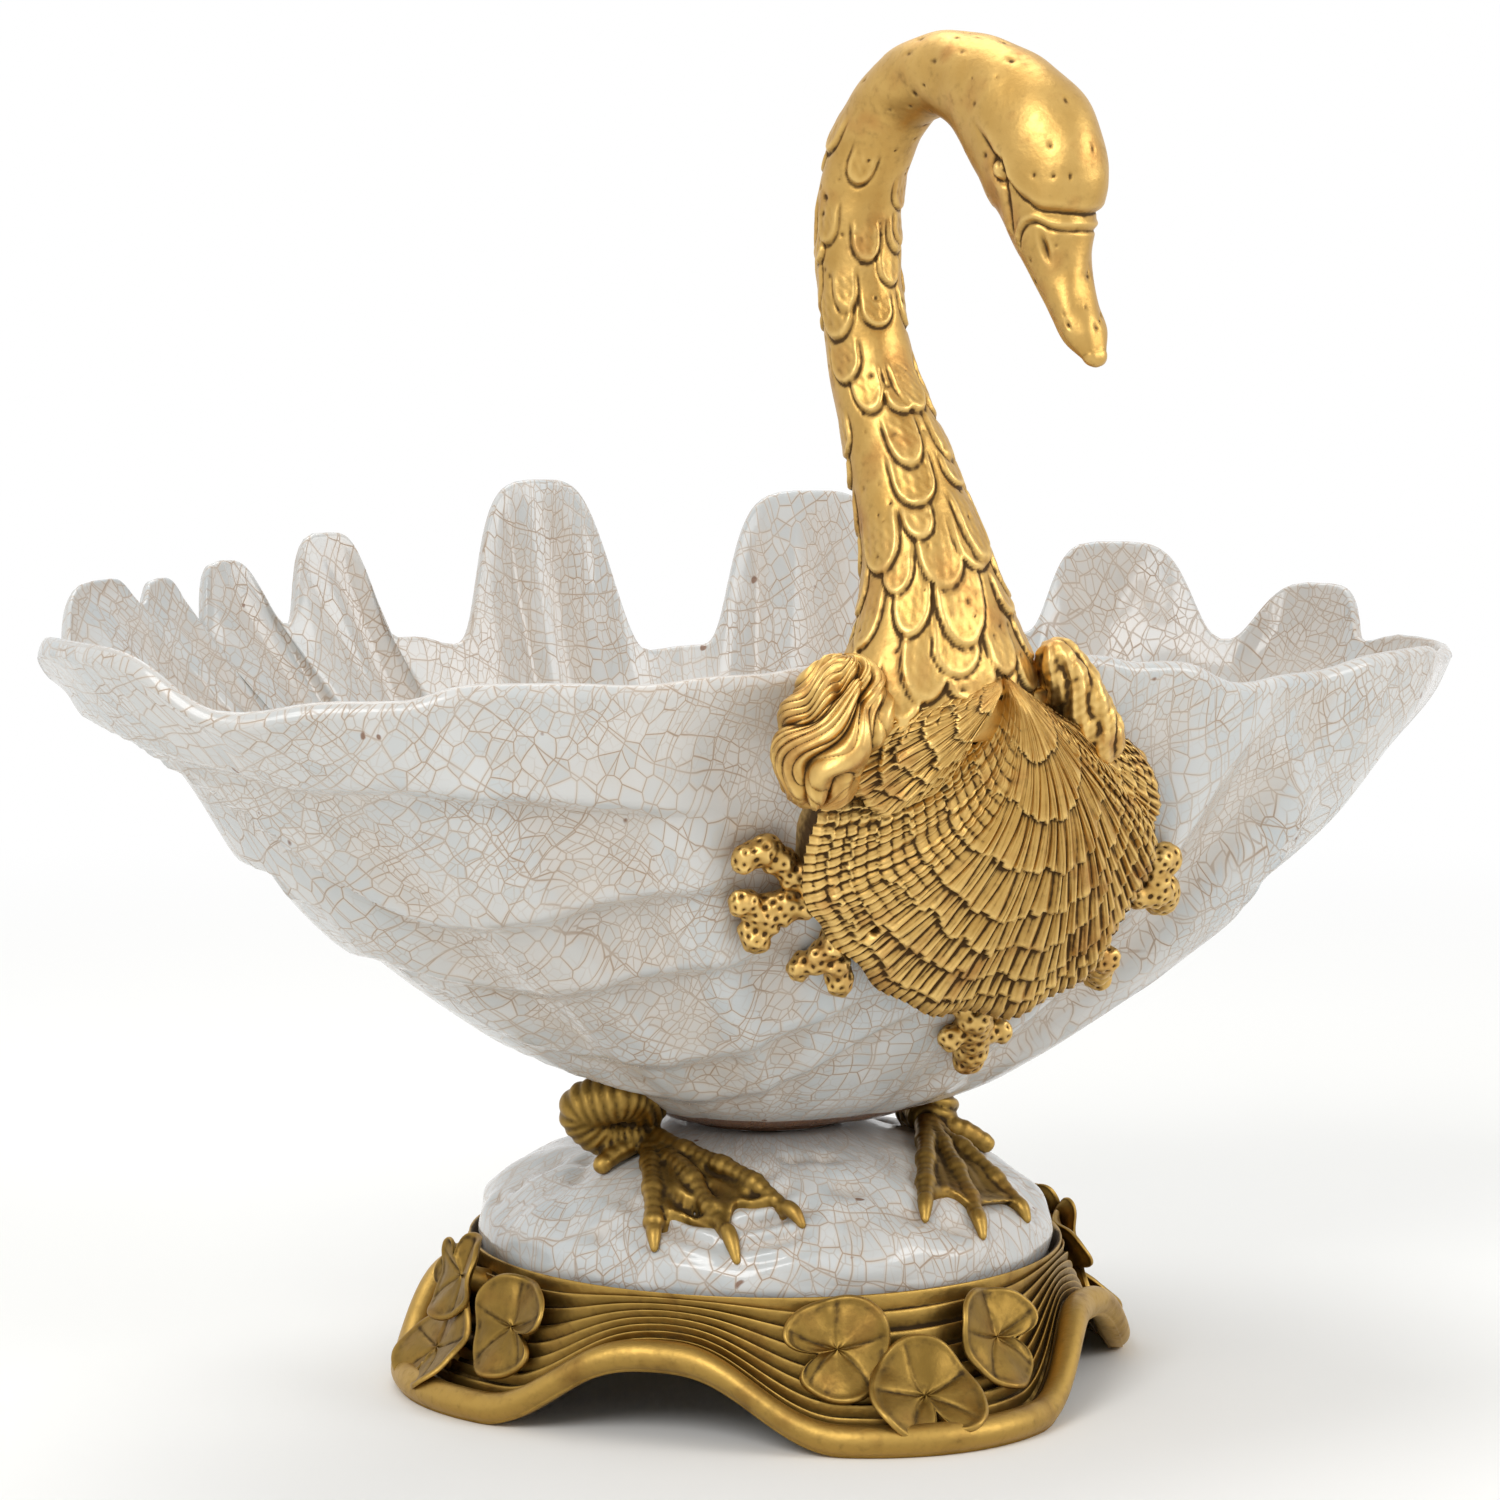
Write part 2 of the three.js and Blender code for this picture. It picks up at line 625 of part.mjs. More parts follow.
const umbo = NECK_BASE.clone().addScaledVector(heading, 15).addScaledVector(sideways, 5)
  .setZ(RIM_HEIGHT + UMBO_ABOVE_RIM);
const SCALLOPS = {
  front_scallop: {
    hinge: umbo, length: SCALLOP_LENGTH, dome: SCALLOP_DOME, spread: 56, turn: -5,
    tilt: SCALLOP_TILT, sink: 30, ribs: 12,
  },
  rear_scallop: {
    hinge: umbo.clone().add(vec(8, 6, 0)), length: 50, dome: 9, spread: 30, turn: 66,
    tilt: 14, sink: 18, ribs: 6,
  },
  side_scallop: {
    hinge: umbo.clone().add(vec(10, 7, -8)), length: 80, dome: 13, spread: 38, turn: -30,
    tilt: 22, sink: 24, ribs: 8,
  },
};

// A snail shell: an egg with a winding groove, lying against the wall.
function whelkSolid(grow) {
  const centre = vec(NECK_BASE.x - WHELK_ASIDE, NECK_BASE.y - WHELK_FORWARD, RIM_HEIGHT - WHELK_DROP);
  const sides = 14;
  const rings = [];
  const stack = 8;
  for (let r = 0; r < stack; r += 1) {
    const lift = (Math.PI * (r + 0.5)) / stack;
    rings.push(Array.from({ length: sides }, (_, n) => {
      const turn = (2 * Math.PI * n) / sides;
      const swirl = 1 + 0.06 * Math.sin(3 * turn + 3.2 * lift);
      const reach = Math.sin(lift) * swirl;
      return vec(
        centre.x + (WHELK_HALF_X + grow) * reach * Math.cos(turn) + WHELK_LEAN * Math.cos(lift),
        centre.y + (WHELK_HALF_Y + grow) * reach * Math.sin(turn),
        centre.z + (WHELK_HALF_HEIGHT + grow) * Math.cos(lift),
      );
    }));
  }
  return loft(rings);
}

// A ridged shell that lies on the wall at the right of the neck, pointed at its upper end.
function ridgedShellSolid(grow) {
  const start = vec(NECK_BASE.x + 33, NECK_BASE.y - 3, RIM_HEIGHT + 6);
  const end = vec(NECK_BASE.x + 52, NECK_BASE.y - 2, RIM_HEIGHT - 19);
  const rings = 7;
  const points = Array.from({ length: rings }, (_, k) => start.clone().lerp(end, k / (rings - 1)));
  const swell = (k) => RIDGED_SHELL_SWELL * Math.sin((Math.PI * k) / (rings - 1));
  const radii = points.map((_, k) => RIDGED_SHELL_END + swell(k) + (k % 2) + grow);
  return taperedTube(points, radii, 10);
}

// Branches of coral, each a list of limbs. A limb is points, each its X, its height from the rim and its
// radius, laid on the front wall.
const CORAL_LIMBS = {
  coral_left_high: [[[-37, -55, 4.6], [-48, -52, 4.6], [-54, -44, 4.4], [-61, -46, 3.8]],
    [[-41, -55, 4.6], [-51, -62, 5.6], [-61, -59, 5]], [[-51, -62, 5.6], [-54, -72, 4.4]]],
  coral_left_low: [[[-22, -74, 4.6], [-30, -78, 4.2], [-38, -81, 4]], [[-26, -75, 4.4], [-22, -87, 4]]],
  coral_bottom: [[[25, -96, 5.6], [25, -104, 5.4], [27, -114, 4.6]], [[25, -104, 4.8], [15, -107, 4]],
    [[26, -103, 4.8], [38, -103, 4]]],
  coral_right_low: [[[66, -84, 4.6], [70, -91, 4.4], [70, -97, 4]]],
  coral_right_middle: [[[66, -64, 5.4], [77, -64, 5.6], [87, -68, 4.8]],
    [[77, -64, 5.6], [81, -55, 4.8], [80, -50, 4]]],
  coral_right_high: [[[50, -27, 4.4], [58, -24, 4.4], [64, -26, 3.8]]],
};
const CORAL_STAND = 2;

function coralSolid(limbs, grow) {
  let body = null;
  for (const limb of limbs) {
    const points = limb.map(([x, lift, radius]) => {
      const wall = frontWall(x, RIM_HEIGHT + lift);
      return vec(x, wall.y - radius - CORAL_STAND, RIM_HEIGHT + lift);
    });
    const radii = limb.map(([, , radius]) => radius + grow);
    const end = ball(points[points.length - 1], radii[radii.length - 1] * 1.1, 6);
    const tube = taperedTube(points, radii, 6).add(end);
    body = body ? body.add(tube) : tube;
  }
  const [x, lift, radius] = limbs[0][0];
  const z = RIM_HEIGHT + lift;
  const root = frontWall(x, z);
  const stem = rod(vec(x, root.y - radius - CORAL_STAND, z), vec(x, root.y + 4, z), radius * 0.8, 6);
  return body.add(stem);
}

// Webbed feet

function rockTopAt(x, y) {
  const angle = Math.atan2(y / ROCK_HALF_Y, x / ROCK_HALF_X);
  const reach = Math.hypot(x / ROCK_HALF_X, y / ROCK_HALF_Y);
  let k = ROCK_OUTSIDE.length - 1;
  const shareAt = (row) => {
    const point = rockPoint(angle, row, 0);
    return Math.hypot(point.x / ROCK_HALF_X, point.y / ROCK_HALF_Y);
  };
  while (k > 1 && shareAt(k - 1) < reach) k -= 1;
  const inner = shareAt(k);
  const outer = shareAt(k - 1);
  const u = clamp((reach - inner) / (outer - inner), 0, 1);
  return lerp(rockPoint(angle, k, 0).z, rockPoint(angle, k - 1, 0).z, u);
}

const TOE_SHARES = [0, 0.3, 0.6, 0.86];
function footSolid({ side, x: ankleX, y: ankleY, heading: aim, toes, hock }, grow) {
  const at = (x, y, lift) => vec(x, y, rockTopAt(x, y) + lift);
  const lines = toes.map(([splay, length]) => {
    const angle = rad(aim + side * splay);
    const way = vec(Math.sin(angle), -Math.cos(angle), 0);
    return (share, lift) => at(ankleX + way.x * length * share, ankleY + way.y * length * share, lift);
  });
  let body = null;
  const join = (part) => {
    body = body ? body.add(part) : part;
  };
  for (const line of lines) {
    const joints = TOE_SHARES.map((share) => line(share, TOE_RADIUS * 0.75));
    joints[0].z += 2;
    const claw = [line(0.86, TOE_RADIUS * 0.7), line(0.94, TOE_RADIUS * 0.8), line(1, 0.6)];
    join(taperedTube(joints, [4.6, 3.5, 3.3, 3].map((radius) => radius + grow), 6));
    join(taperedTube(claw, [2.9, 2.3, 1].map((radius) => radius + grow), 6));
  }
  for (let k = 0; k < lines.length - 1; k += 1) {
    const across = 3;
    const rows = 3;
    const rings = [];
    for (let r = 0; r <= rows; r += 1) {
      const edge = (u) => lerp(0.05, 0.84 - 0.16 * Math.sin(Math.PI * u), r / rows);
      const mid = (u, lift) => {
        const a = lines[k](edge(u), lift);
        const b = lines[k + 1](edge(u), lift);
        const flat = a.lerp(b, u);
        return at(flat.x, flat.y, lift);
      };
      const top = Array.from({ length: across + 1 }, (_, n) => mid(n / across, WEB_THICKNESS + grow));
      const bottom = Array.from({ length: across + 1 }, (_, n) => mid(1 - n / across, -WEB_DEPTH));
      rings.push([...top, ...bottom]);
    }
    join(loft(rings));
  }
  const leg = [
    vec(ankleX - hock[0] * 0.2, ankleY - 10, ROCK_TOP + THIGH_RISE),
    vec(ankleX + hock[0] * 0.6, ankleY - 6 + hock[1] * 0.6, ROCK_TOP + THIGH_RISE - 2),
    vec(ankleX + hock[0], ankleY + hock[1], ROCK_TOP + HOCK_RISE),
    vec(ankleX + hock[0] * 0.8, ankleY + hock[1] * 0.8, ROCK_TOP + 1.5),
    vec(ankleX, ankleY, rockTopAt(ankleX, ankleY) + TARSUS_RISE),
  ];
  join(taperedTube(leg, [5, 7, 7.5, 6.5, 5.4].map((radius) => radius + grow), 8));
  const heel = [at(ankleX + side * 4, ankleY, 4), at(ankleX + side * 20, ankleY - 6, 3.4)];
  join(taperedTube(heel, [3.6 + grow, 2.4 + grow], 6));
  return body;
}

// The ankle's place, the foot's heading, and for each front toe, outer to inner, its splay from that
// heading in degrees and its length with the claw.
const FEET = {
  right: {
    side: -1, x: RIGHT_ANKLE_IN_X - ROCK_HALF_X, y: RIGHT_ANKLE_IN_Y - ROCK_HALF_Y, heading: 0,
    toes: [[22, 59], [4, 70], [-20, 66]], hock: [-20, 3],
  },
  left: {
    side: 1, x: ROCK_HALF_X - LEFT_ANKLE_IN_X, y: LEFT_ANKLE_IN_Y - ROCK_HALF_Y, heading: -20,
    toes: [[22, 55], [5, 68], [-12, 60]], hock: [6, 16],
  },
};

// Lily pads

// Degrees from the lobe's middle, share down the slope, radius, stand above the ring, turn of the notch.
const PAD_CLUSTER = [[-15, 0.32, 15, 3, 200], [-3, 0.72, 16.5, 5.5, 280], [14, 0.36, 15, 4, 340]];
const EXTRA_PAD = [-4, 0.16, 13.5, 7.5, 120];
const PAD_SIDES = 12;

function padSolid(lobeAngle, [offset, share, radius, stand, notch], grow) {
  const angle = rad(lobeAngle + offset);
  const seat = plinthTop(angle, share);
  const along = plinthTop(angle + 0.05, share).sub(plinthTop(angle - 0.05, share));
  const slope = plinthTop(angle, share + 0.1).sub(plinthTop(angle, share - 0.1));
  const normal = slope.clone().cross(along).normalize();
  const right = along.clone().normalize();
  const down = normal.clone().cross(right).normalize();
  const centre = seat.clone().addScaledVector(normal, stand);
  const place = (turn, share_, lift) => {
    const fromNotch = Math.atan2(Math.sin(turn - rad(notch)), Math.cos(turn - rad(notch)));
    const sharp = Math.exp(-14 * fromNotch * fromNotch);
    const reach = (radius + grow) * share_ * (1 - 0.38 * sharp) * (1 + 0.04 * Math.sin(5 * turn + notch));
    const wave = 1.3 * share_ ** 2 * Math.sin(4 * turn + notch);
    return centre.clone()
      .addScaledVector(right, reach * Math.cos(turn))
      .addScaledVector(down, reach * Math.sin(turn))
      .addScaledVector(normal, lift + wave);
  };
  const half = PAD_THICKNESS / 2 + grow;
  const rings = [[0.4, half - 0.9], [0.8, half], [1, half * 0.6], [1, -half * 0.6], [0.5, -half]];
  const disc = loft(rings.map(([share_, lift]) => Array.from(
    { length: PAD_SIDES },
    (_, n) => place((2 * Math.PI * n) / PAD_SIDES, share_, lift),
  )));
  const stemEnd = seat.clone().addScaledVector(normal, -PAD_STEM_DEPTH);
  return disc.add(rod(centre, stemEnd, PAD_STEM_RADIUS + grow, 6));
}

// Porcelain

const footStuds = Object.entries(FEET).map(([name, foot]) => {
  const top = rockTopAt(foot.x, foot.y);
  return { name, foot, top };
});

let rock = rockSolid(0);
for (const { foot, top } of footStuds) {
  const bottom = vec(foot.x, foot.y, top - FOOT_DRILL_DEPTH);
  rock = rock.subtract(rod(bottom, vec(foot.x, foot.y, top + DRILL_CLEAR), STUD_RADIUS + BORE_PLAY));
}

// The place of each neck stud: X, and how far it lies below the rim.
const NECK_STUDS = { upper: [10, 32], lower: [18, 64] };
const neckStuds = Object.entries(NECK_STUDS)
  .map(([name, [x, drop]]) => ({ name, wall: frontWall(x, RIM_HEIGHT - drop) }));
const INWARD = vec(0, 1, 0);

let bowl = bowlSolid(0);
for (const { wall } of neckStuds) {
  const start = wall.clone().addScaledVector(INWARD, -NECK_DRILL_OUT);
  const end = wall.clone().addScaledVector(INWARD, NECK_DRILL_IN);
  bowl = bowl.subtract(rod(start, end, STUD_RADIUS + BORE_PLAY));
}

piece('shell_bowl', bowl, PORCELAIN);
piece('rock_base', rock, PORCELAIN);

// Plinth and its pads

const plinth = plinthSolid(0);
const plinthGrown = plinthSolid(FIT);
piece('plinth_mount', plinth, DULL_GILT);

const LOBES = { right: 0, back: 90, left: 180, front: 270 };
for (const [side, lobeAngle] of Object.entries(LOBES)) {
  const cluster = side === 'left' || side === 'right' ? [...PAD_CLUSTER, EXTRA_PAD] : PAD_CLUSTER;
  let taken = plinthGrown.add(rockSolid(FIT));
  cluster.forEach((pad, k) => {
    piece(`lily_pad_${side}_${k + 1}`, padSolid(lobeAngle, pad, 0).subtract(taken), DULL_GILT);
    taken = taken.add(padSolid(lobeAngle, pad, FIT));
  });
}

// Neck, shells, corals

const bowlGrown = bowlSolid(FIT);
let neck = neckSolid(0).add(bibSolid(0)).subtract(bowlGrown);
for (const { wall } of neckStuds) {
  const deep = wall.clone().addScaledVector(INWARD, -STUD_INTO_BIB);
  const socketEnd = wall.clone().addScaledVector(INWARD, NECK_SOCKET_CLEAR);
  neck = neck.subtract(rod(deep, socketEnd, STUD_RADIUS + FIT));
}
piece('swan_neck', neck, GILT);

// The ornaments lie outside the wall, so the bowl's whole body is cut from them and not only its wall.
let ornamentsTaken = bowlGrown.add(bowlBody(FIT)).add(neckSolid(FIT)).add(bibSolid(FIT));
const addOrnament = (name, builder) => {
  const body = builder(0).subtract(ornamentsTaken);
  piece(name, body, GILT);
  ornamentsTaken = ornamentsTaken.add(spaced(body));
};
for (const [name, shape] of Object.entries(SCALLOPS)) {
  addOrnament(name, (grow) => scallopSolid(shape, grow));
}
addOrnament('whelk_shell', whelkSolid);
addOrnament('ridged_shell', ridgedShellSolid);
for (const [name, limbs] of Object.entries(CORAL_LIMBS)) {
  addOrnament(name, (grow) => coralSolid(limbs, grow));
}

// Feet

const rockGrown = rockSolid(FIT);
for (const { name, foot, top } of footStuds) {
  const studEnd = vec(foot.x, foot.y, top - FOOT_STUD_LENGTH);
  const stud = rod(studEnd, vec(foot.x, foot.y, top + STUD_INTO_FOOT), STUD_RADIUS);
  const body = footSolid(foot, 0);
  piece(`${name}_webbed_foot`, body.subtract(rockGrown).subtract(bowlGrown).add(stud), DULL_GILT);
  const seat = vec(foot.x, foot.y, top - ROCK_WALL + PACKING_LAP);
  const down = vec(0, 0, -1);
  const washerRadius = STUD_RADIUS * FOOT_WASHER_WIDTH;
  const packing = collar(seat, down, washerRadius, STUD_RADIUS + FIT, FOOT_PACKING, ROUND_SIDES);
  piece(`${name}_foot_washer`, packing.subtract(rockGrown), BRASS);
  const nutSeat = seat.clone().addScaledVector(down, FOOT_PACKING + FIT);
  piece(`${name}_foot_nut`, studNut(nutSeat, down), BRASS);
}

// Neck fasteners inside the bowl

for (const { name, wall } of neckStuds) {
  const start = wall.clone().addScaledVector(INWARD, FIT - STUD_INTO_BIB);
  const end = wall.clone().addScaledVector(INWARD, STUD_INSIDE);
  piece(`neck_stud_${name}`, rod(start, end, STUD_RADIUS), BRASS);
  const seat = wall.clone().addScaledVector(INWARD, BOWL_WALL / 2);
  const washerRadius = STUD_RADIUS * NECK_WASHER_WIDTH;
  const washer = collar(seat, INWARD, washerRadius, STUD_RADIUS + FIT, NECK_PACKING, ROUND_SIDES);
  piece(`neck_washer_${name}`, washer.subtract(bowlGrown), BRASS);
  const nutSeat = seat.clone().addScaledVector(INWARD, NECK_PACKING + FIT);
  piece(`neck_nut_${name}`, studNut(nutSeat, INWARD), BRASS);
}

// Tie rod and what it clamps

const down = vec(0, 0, -1);
const clampTop = ROCK_SEAT - LEDGE_THICKNESS - FIT;
const clampBottom = clampTop - CLAMP_THICKNESS;
const floorTop = BOWL_FOOT + BOWL_WALL;
const washerTop = floorTop + FIT + WASHER_THICKNESS;
const rodTop = washerTop + FIT + ROD_NUT_HEIGHT;
const rodBottom = clampBottom - 2 * FIT - WASHER_THICKNESS - ROD_NUT_HEIGHT - ROD_END;
const nutRadius = ROD_RADIUS * NUT_WIDTH_PER_ROD;
const bore = ROD_RADIUS + FIT;

piece('tie_rod', rod(vec(0, 0, rodBottom), vec(0, 0, rodTop), ROD_RADIUS), BRASS);
const ringSeat = vec(0, 0, ROCK_TOP + FIT);
piece('bedding_ring', collar(ringSeat, UP, BEDDING_RADIUS, bore, BEDDING_THICKNESS, 20), LEATHER);
const washerSeat = vec(0, 0, floorTop + FIT);
const bowlWasherRadius = BOWL_WASHER_WIDTH * ROD_RADIUS;
piece('bowl_washer', collar(washerSeat, UP, bowlWasherRadius, bore, WASHER_THICKNESS, 24), BRASS);

const capSeat = vec(0, 0, washerTop + FIT);
const capTop = capSeat.clone().setZ(capSeat.z + ROD_NUT_HEIGHT + CAP_RISE);
const cap = rod(capSeat, capTop, nutRadius, 6).add(ball(capTop, nutRadius * 0.8, 12));
const capBore = rod(capSeat.clone().setZ(capSeat.z - 1), vec(0, 0, rodTop + FIT), bore);
piece('bowl_cap_nut', cap.subtract(capBore), BRASS);

const clampLength = 2 * (LEDGE_REACH + CLAMP_LAP);
const clampBar = solid(new THREE.BoxGeometry(clampLength, CLAMP_WIDTH, CLAMP_THICKNESS)
  .translate(0, 0, (clampTop + clampBottom) / 2));
const clampHole = rod(vec(0, 0, clampBottom - 1), vec(0, 0, clampTop + 1), bore);
piece('clamp_bar', clampBar.subtract(clampHole), BRASS);
const lowWasher = vec(0, 0, clampBottom - FIT);
const baseWasherRadius = BASE_WASHER_WIDTH * ROD_RADIUS;
piece('base_washer', collar(lowWasher, down, baseWasherRadius, bore, WASHER_THICKNESS, ROUND_SIDES), BRASS);
const lowNut = vec(0, 0, lowWasher.z - WASHER_THICKNESS - FIT);
piece('base_nut', collar(lowNut, down, nutRadius, bore, ROD_NUT_HEIGHT, 6), BRASS);

// The whole part, with its origin under the middle of its box

const group = new THREE.Group();
group.add(...pieces);
const box = new THREE.Box3().setFromObject(group);
const middle = box.getCenter(vec(0, 0, 0));
for (const mesh of pieces) mesh.geometry.translate(-middle.x, -middle.y, -box.min.z);

export default group;
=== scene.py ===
import json
import math
import random
import bpy
import numpy as np
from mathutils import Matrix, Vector
from mathutils.bvhtree import BVHTree
from mathutils.kdtree import KDTree


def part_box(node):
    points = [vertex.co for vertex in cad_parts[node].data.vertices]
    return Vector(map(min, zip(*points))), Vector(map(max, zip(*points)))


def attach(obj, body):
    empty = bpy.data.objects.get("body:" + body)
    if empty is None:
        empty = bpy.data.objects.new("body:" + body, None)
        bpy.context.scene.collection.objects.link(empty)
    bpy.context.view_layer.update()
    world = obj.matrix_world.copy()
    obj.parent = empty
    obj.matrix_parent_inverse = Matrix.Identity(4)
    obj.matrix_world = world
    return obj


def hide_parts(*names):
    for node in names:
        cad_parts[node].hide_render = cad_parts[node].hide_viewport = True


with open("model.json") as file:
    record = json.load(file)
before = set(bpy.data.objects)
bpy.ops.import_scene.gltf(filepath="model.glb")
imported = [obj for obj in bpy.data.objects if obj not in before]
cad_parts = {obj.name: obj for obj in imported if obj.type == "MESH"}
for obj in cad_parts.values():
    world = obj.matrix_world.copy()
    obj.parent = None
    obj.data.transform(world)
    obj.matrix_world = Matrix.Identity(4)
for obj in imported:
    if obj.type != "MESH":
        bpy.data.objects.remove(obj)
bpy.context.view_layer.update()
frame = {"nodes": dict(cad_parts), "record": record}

# Table top, light and camera
# The bowl stands on a pale table under soft light from both sides, seen from the swan's right and
# a little above the rim. Every length below is in millimetres about the upright axis of the tie rod.
rod_low, rod_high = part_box("tie_rod")
AXIS = (rod_low + rod_high) / 2
PLINTH_DROP = 6.0
TABLE_PALE = "#F4F4F2"
TABLE_SIZE = 14.0
TABLE_GAP = 0.0002
CAMERA_BACK = 1500.0
CAMERA_HEIGHT = 355.0
CAMERA_AZIMUTH = -27.0
CAMERA_TURN = -26.83
CAMERA_PITCH = 6.56
LENS_PER_SENSOR = 120 / 36
SENSOR = 36.0
FADE_FROM = 0.55
FADE_TO = 1.3
# Where each lamp hangs and how wide it is, in metres, and its power in watts.
LAMPS = {
    "window_left": ((-1.5, -1.1, 1.5), 1.2, 22.0),
    "window_right": ((1.4, -1.5, 1.1), 1.2, 15.0),
    "window_above": ((0.1, 0.7, 2.0), 1.4, 16.0),
}
LAMP_AIM = (0, 0, 0.2)
AMBIENT = 0.56


def linear(code):
    """The linear colour that a screen colour such as #B8862F stands for."""
    shares = [int(code[k:k + 2], 16) / 255 for k in (1, 3, 5)]
    curved = [s / 12.92 if s <= 0.04045 else ((s + 0.055) / 1.055) ** 2.4 for s in shares]
    return (*curved, 1.0)


def add(tree, kind, settings=None, **inputs):
    """A shader node with its settings; an input takes a value, or another node's output as a link."""
    made = tree.nodes.new("ShaderNode" + kind)
    for name, value in (settings or {}).items():
        setattr(made, name, value)
    for name, value in inputs.items():
        plain = name.replace("_", " ")
        socket = made.inputs[int(name[1:])] if name[0] == "i" and name[1:].isdigit() else made.inputs[plain]
        if isinstance(value, bpy.types.NodeSocket):
            tree.links.new(value, socket)
        else:
            socket.default_value = value
    return made


def place(points):
    """Millimetres about the stand's axis to metres in the row frame."""
    return (np.asarray(points, float) + (0, 0, PLINTH_DROP)) / 1000 + (AXIS.x, AXIS.y, 0)


def blank_material(name):
    """A material with an empty node tree."""
    made = bpy.data.materials.new(name)
    made.use_nodes = True
    made.node_tree.nodes.clear()
    return made


def seen_directly(tree):
    """1 where the camera, a mirror or glass sees the surface, and 0 for the light that it sends on."""
    rays = add(tree, "LightPath").outputs
    shown = add(tree, "Math", {"operation": "MAXIMUM"}, i0=rays["Is Camera Ray"], i1=rays["Is Glossy Ray"])
    shown = add(tree, "Math", {"operation": "MAXIMUM"}, i0=shown.outputs[0], i1=rays["Is Transmission Ray"])
    return shown.outputs[0]


table_material = blank_material("pale_table")
tree = table_material.node_tree
spot = add(tree, "NewGeometry").outputs["Position"]
flat = add(tree, "VectorMath", {"operation": "MULTIPLY"}, i0=spot, i1=(1, 1, 0)).outputs[0]
far = add(tree, "VectorMath", {"operation": "LENGTH"}, i0=flat).outputs["Value"]
fade = add(tree, "MapRange", {"interpolation_type": "SMOOTHSTEP"}, Value=far,
           From_Min=FADE_FROM, From_Max=FADE_TO)
share = add(tree, "Math", {"operation": "MULTIPLY"}, i0=fade.outputs[0], i1=seen_directly(tree))
matt = add(tree, "BsdfDiffuse", Color=linear(TABLE_PALE))
white = add(tree, "Emission", Color=(1, 1, 1, 1), Strength=1.0)
both = add(tree, "MixShader", i0=share.outputs[0], i1=matt.outputs[0], i2=white.outputs[0])
add(tree, "OutputMaterial", Surface=both.outputs[0])

bpy.ops.mesh.primitive_plane_add(size=TABLE_SIZE, location=(0, 0, -TABLE_GAP))
table = bpy.context.object
table.name = "table_top"
table.data.materials.append(table_material)

world = bpy.data.worlds.new("pale_room")
bpy.context.scene.world = world
world.use_nodes = True
tree = world.node_tree
tree.nodes.clear()
shown = seen_directly(tree)
dim = add(tree, "Background", Color=(1, 1, 1, 1), Strength=AMBIENT)
white = add(tree, "Background", Color=(1, 1, 1, 1), Strength=1.0)
both = add(tree, "MixShader", i0=shown, i1=dim.outputs[0], i2=white.outputs[0])
add(tree, "OutputWorld", Surface=both.outputs[0])

for name, (spot, size, power) in LAMPS.items():
    lamp = bpy.data.lights.new(name, "AREA")
    lamp.shape = "DISK"
    lamp.size = size
    lamp.energy = power
    holder = bpy.data.objects.new(name, lamp)
    bpy.context.scene.collection.objects.link(holder)
    holder.location = spot
    holder.rotation_euler = (Vector(LAMP_AIM) - Vector(spot)).to_track_quat("-Z", "Y").to_euler()

swing = math.radians(CAMERA_AZIMUTH)
camera = bpy.data.objects.new("camera", bpy.data.cameras.new("camera"))
bpy.context.scene.collection.objects.link(camera)
camera.data.sensor_width = SENSOR
camera.data.lens = SENSOR * LENS_PER_SENSOR
camera.location = place((CAMERA_BACK * math.sin(swing), -CAMERA_BACK * math.cos(swing), CAMERA_HEIGHT))
camera.rotation_euler = (math.radians(90 - CAMERA_PITCH), 0, math.radians(CAMERA_TURN))
bpy.context.scene.camera = camera
bpy.context.scene.view_settings.view_transform = "Standard"

# Rock stand
# The hollow stand is slip-cast stoneware in the shape of a worn rock, with ripples and dimples, under
# the same crackle glaze as the bowl. It sits in the bronze ring and carries the bowl on its flat top.
ROCK_HALF_X = 87.0
ROCK_HALF_Y = 91.0
ROCK_TOP = 70.0
ROCK_SEAT = 29.3
ROCK_WALL = 7.0
ROCK_BORE = 4.8
ROCK_PROFILE = ((0, 0.985), (0.2, 1), (0.38, 0.98), (0.55, 0.89), (0.72, 0.76), (0.86, 0.59), (1, 0.32))
ROCK_COLUMNS = 320
ROCK_ROWS = 110
# The rippled place's middle and reach, in degrees about the axis and as a share of the height.
RIPPLES_AT = (232, 0.62)
RIPPLES_REACH = (34, 0.34)
RIPPLE_DEPTH = 2.8
DIMPLES = 70
DIMPLE_RADII = (3.0, 8.0)
DIMPLE_DEPTHS = (1.0, 2.8)
GLAZE_PALE = "#CFD3D4"
GLAZE_GREY = "#BBC4C8"
# The beige is the glaze's real stain and ink creep, and it is also laid in the hollows as painted shade.
GLAZE_STAIN = "#CDBFAF"
CRACK_TAN = "#957A5E"
BARE_CLAY = "#7A5234"
CRACK_CELL = 6.8
CELL_UNEVEN = 0.66
FINE_CELL = 3.9
FINE_UNEVEN = 0.8
LONG_CRACK = 18.0
CRACK_BEND = 15.0
CRACK_WIDTH = 0.27
HALO_WIDTH = 1.1
# The inside of a wall takes its cracks from another place of the net, this far off.
INSIDE_APART = 900


def smooth(value):
    """An ease from 0 to 1 with level ends."""
    value = np.clip(value, 0, 1)
    return value * value * (3 - 2 * value)


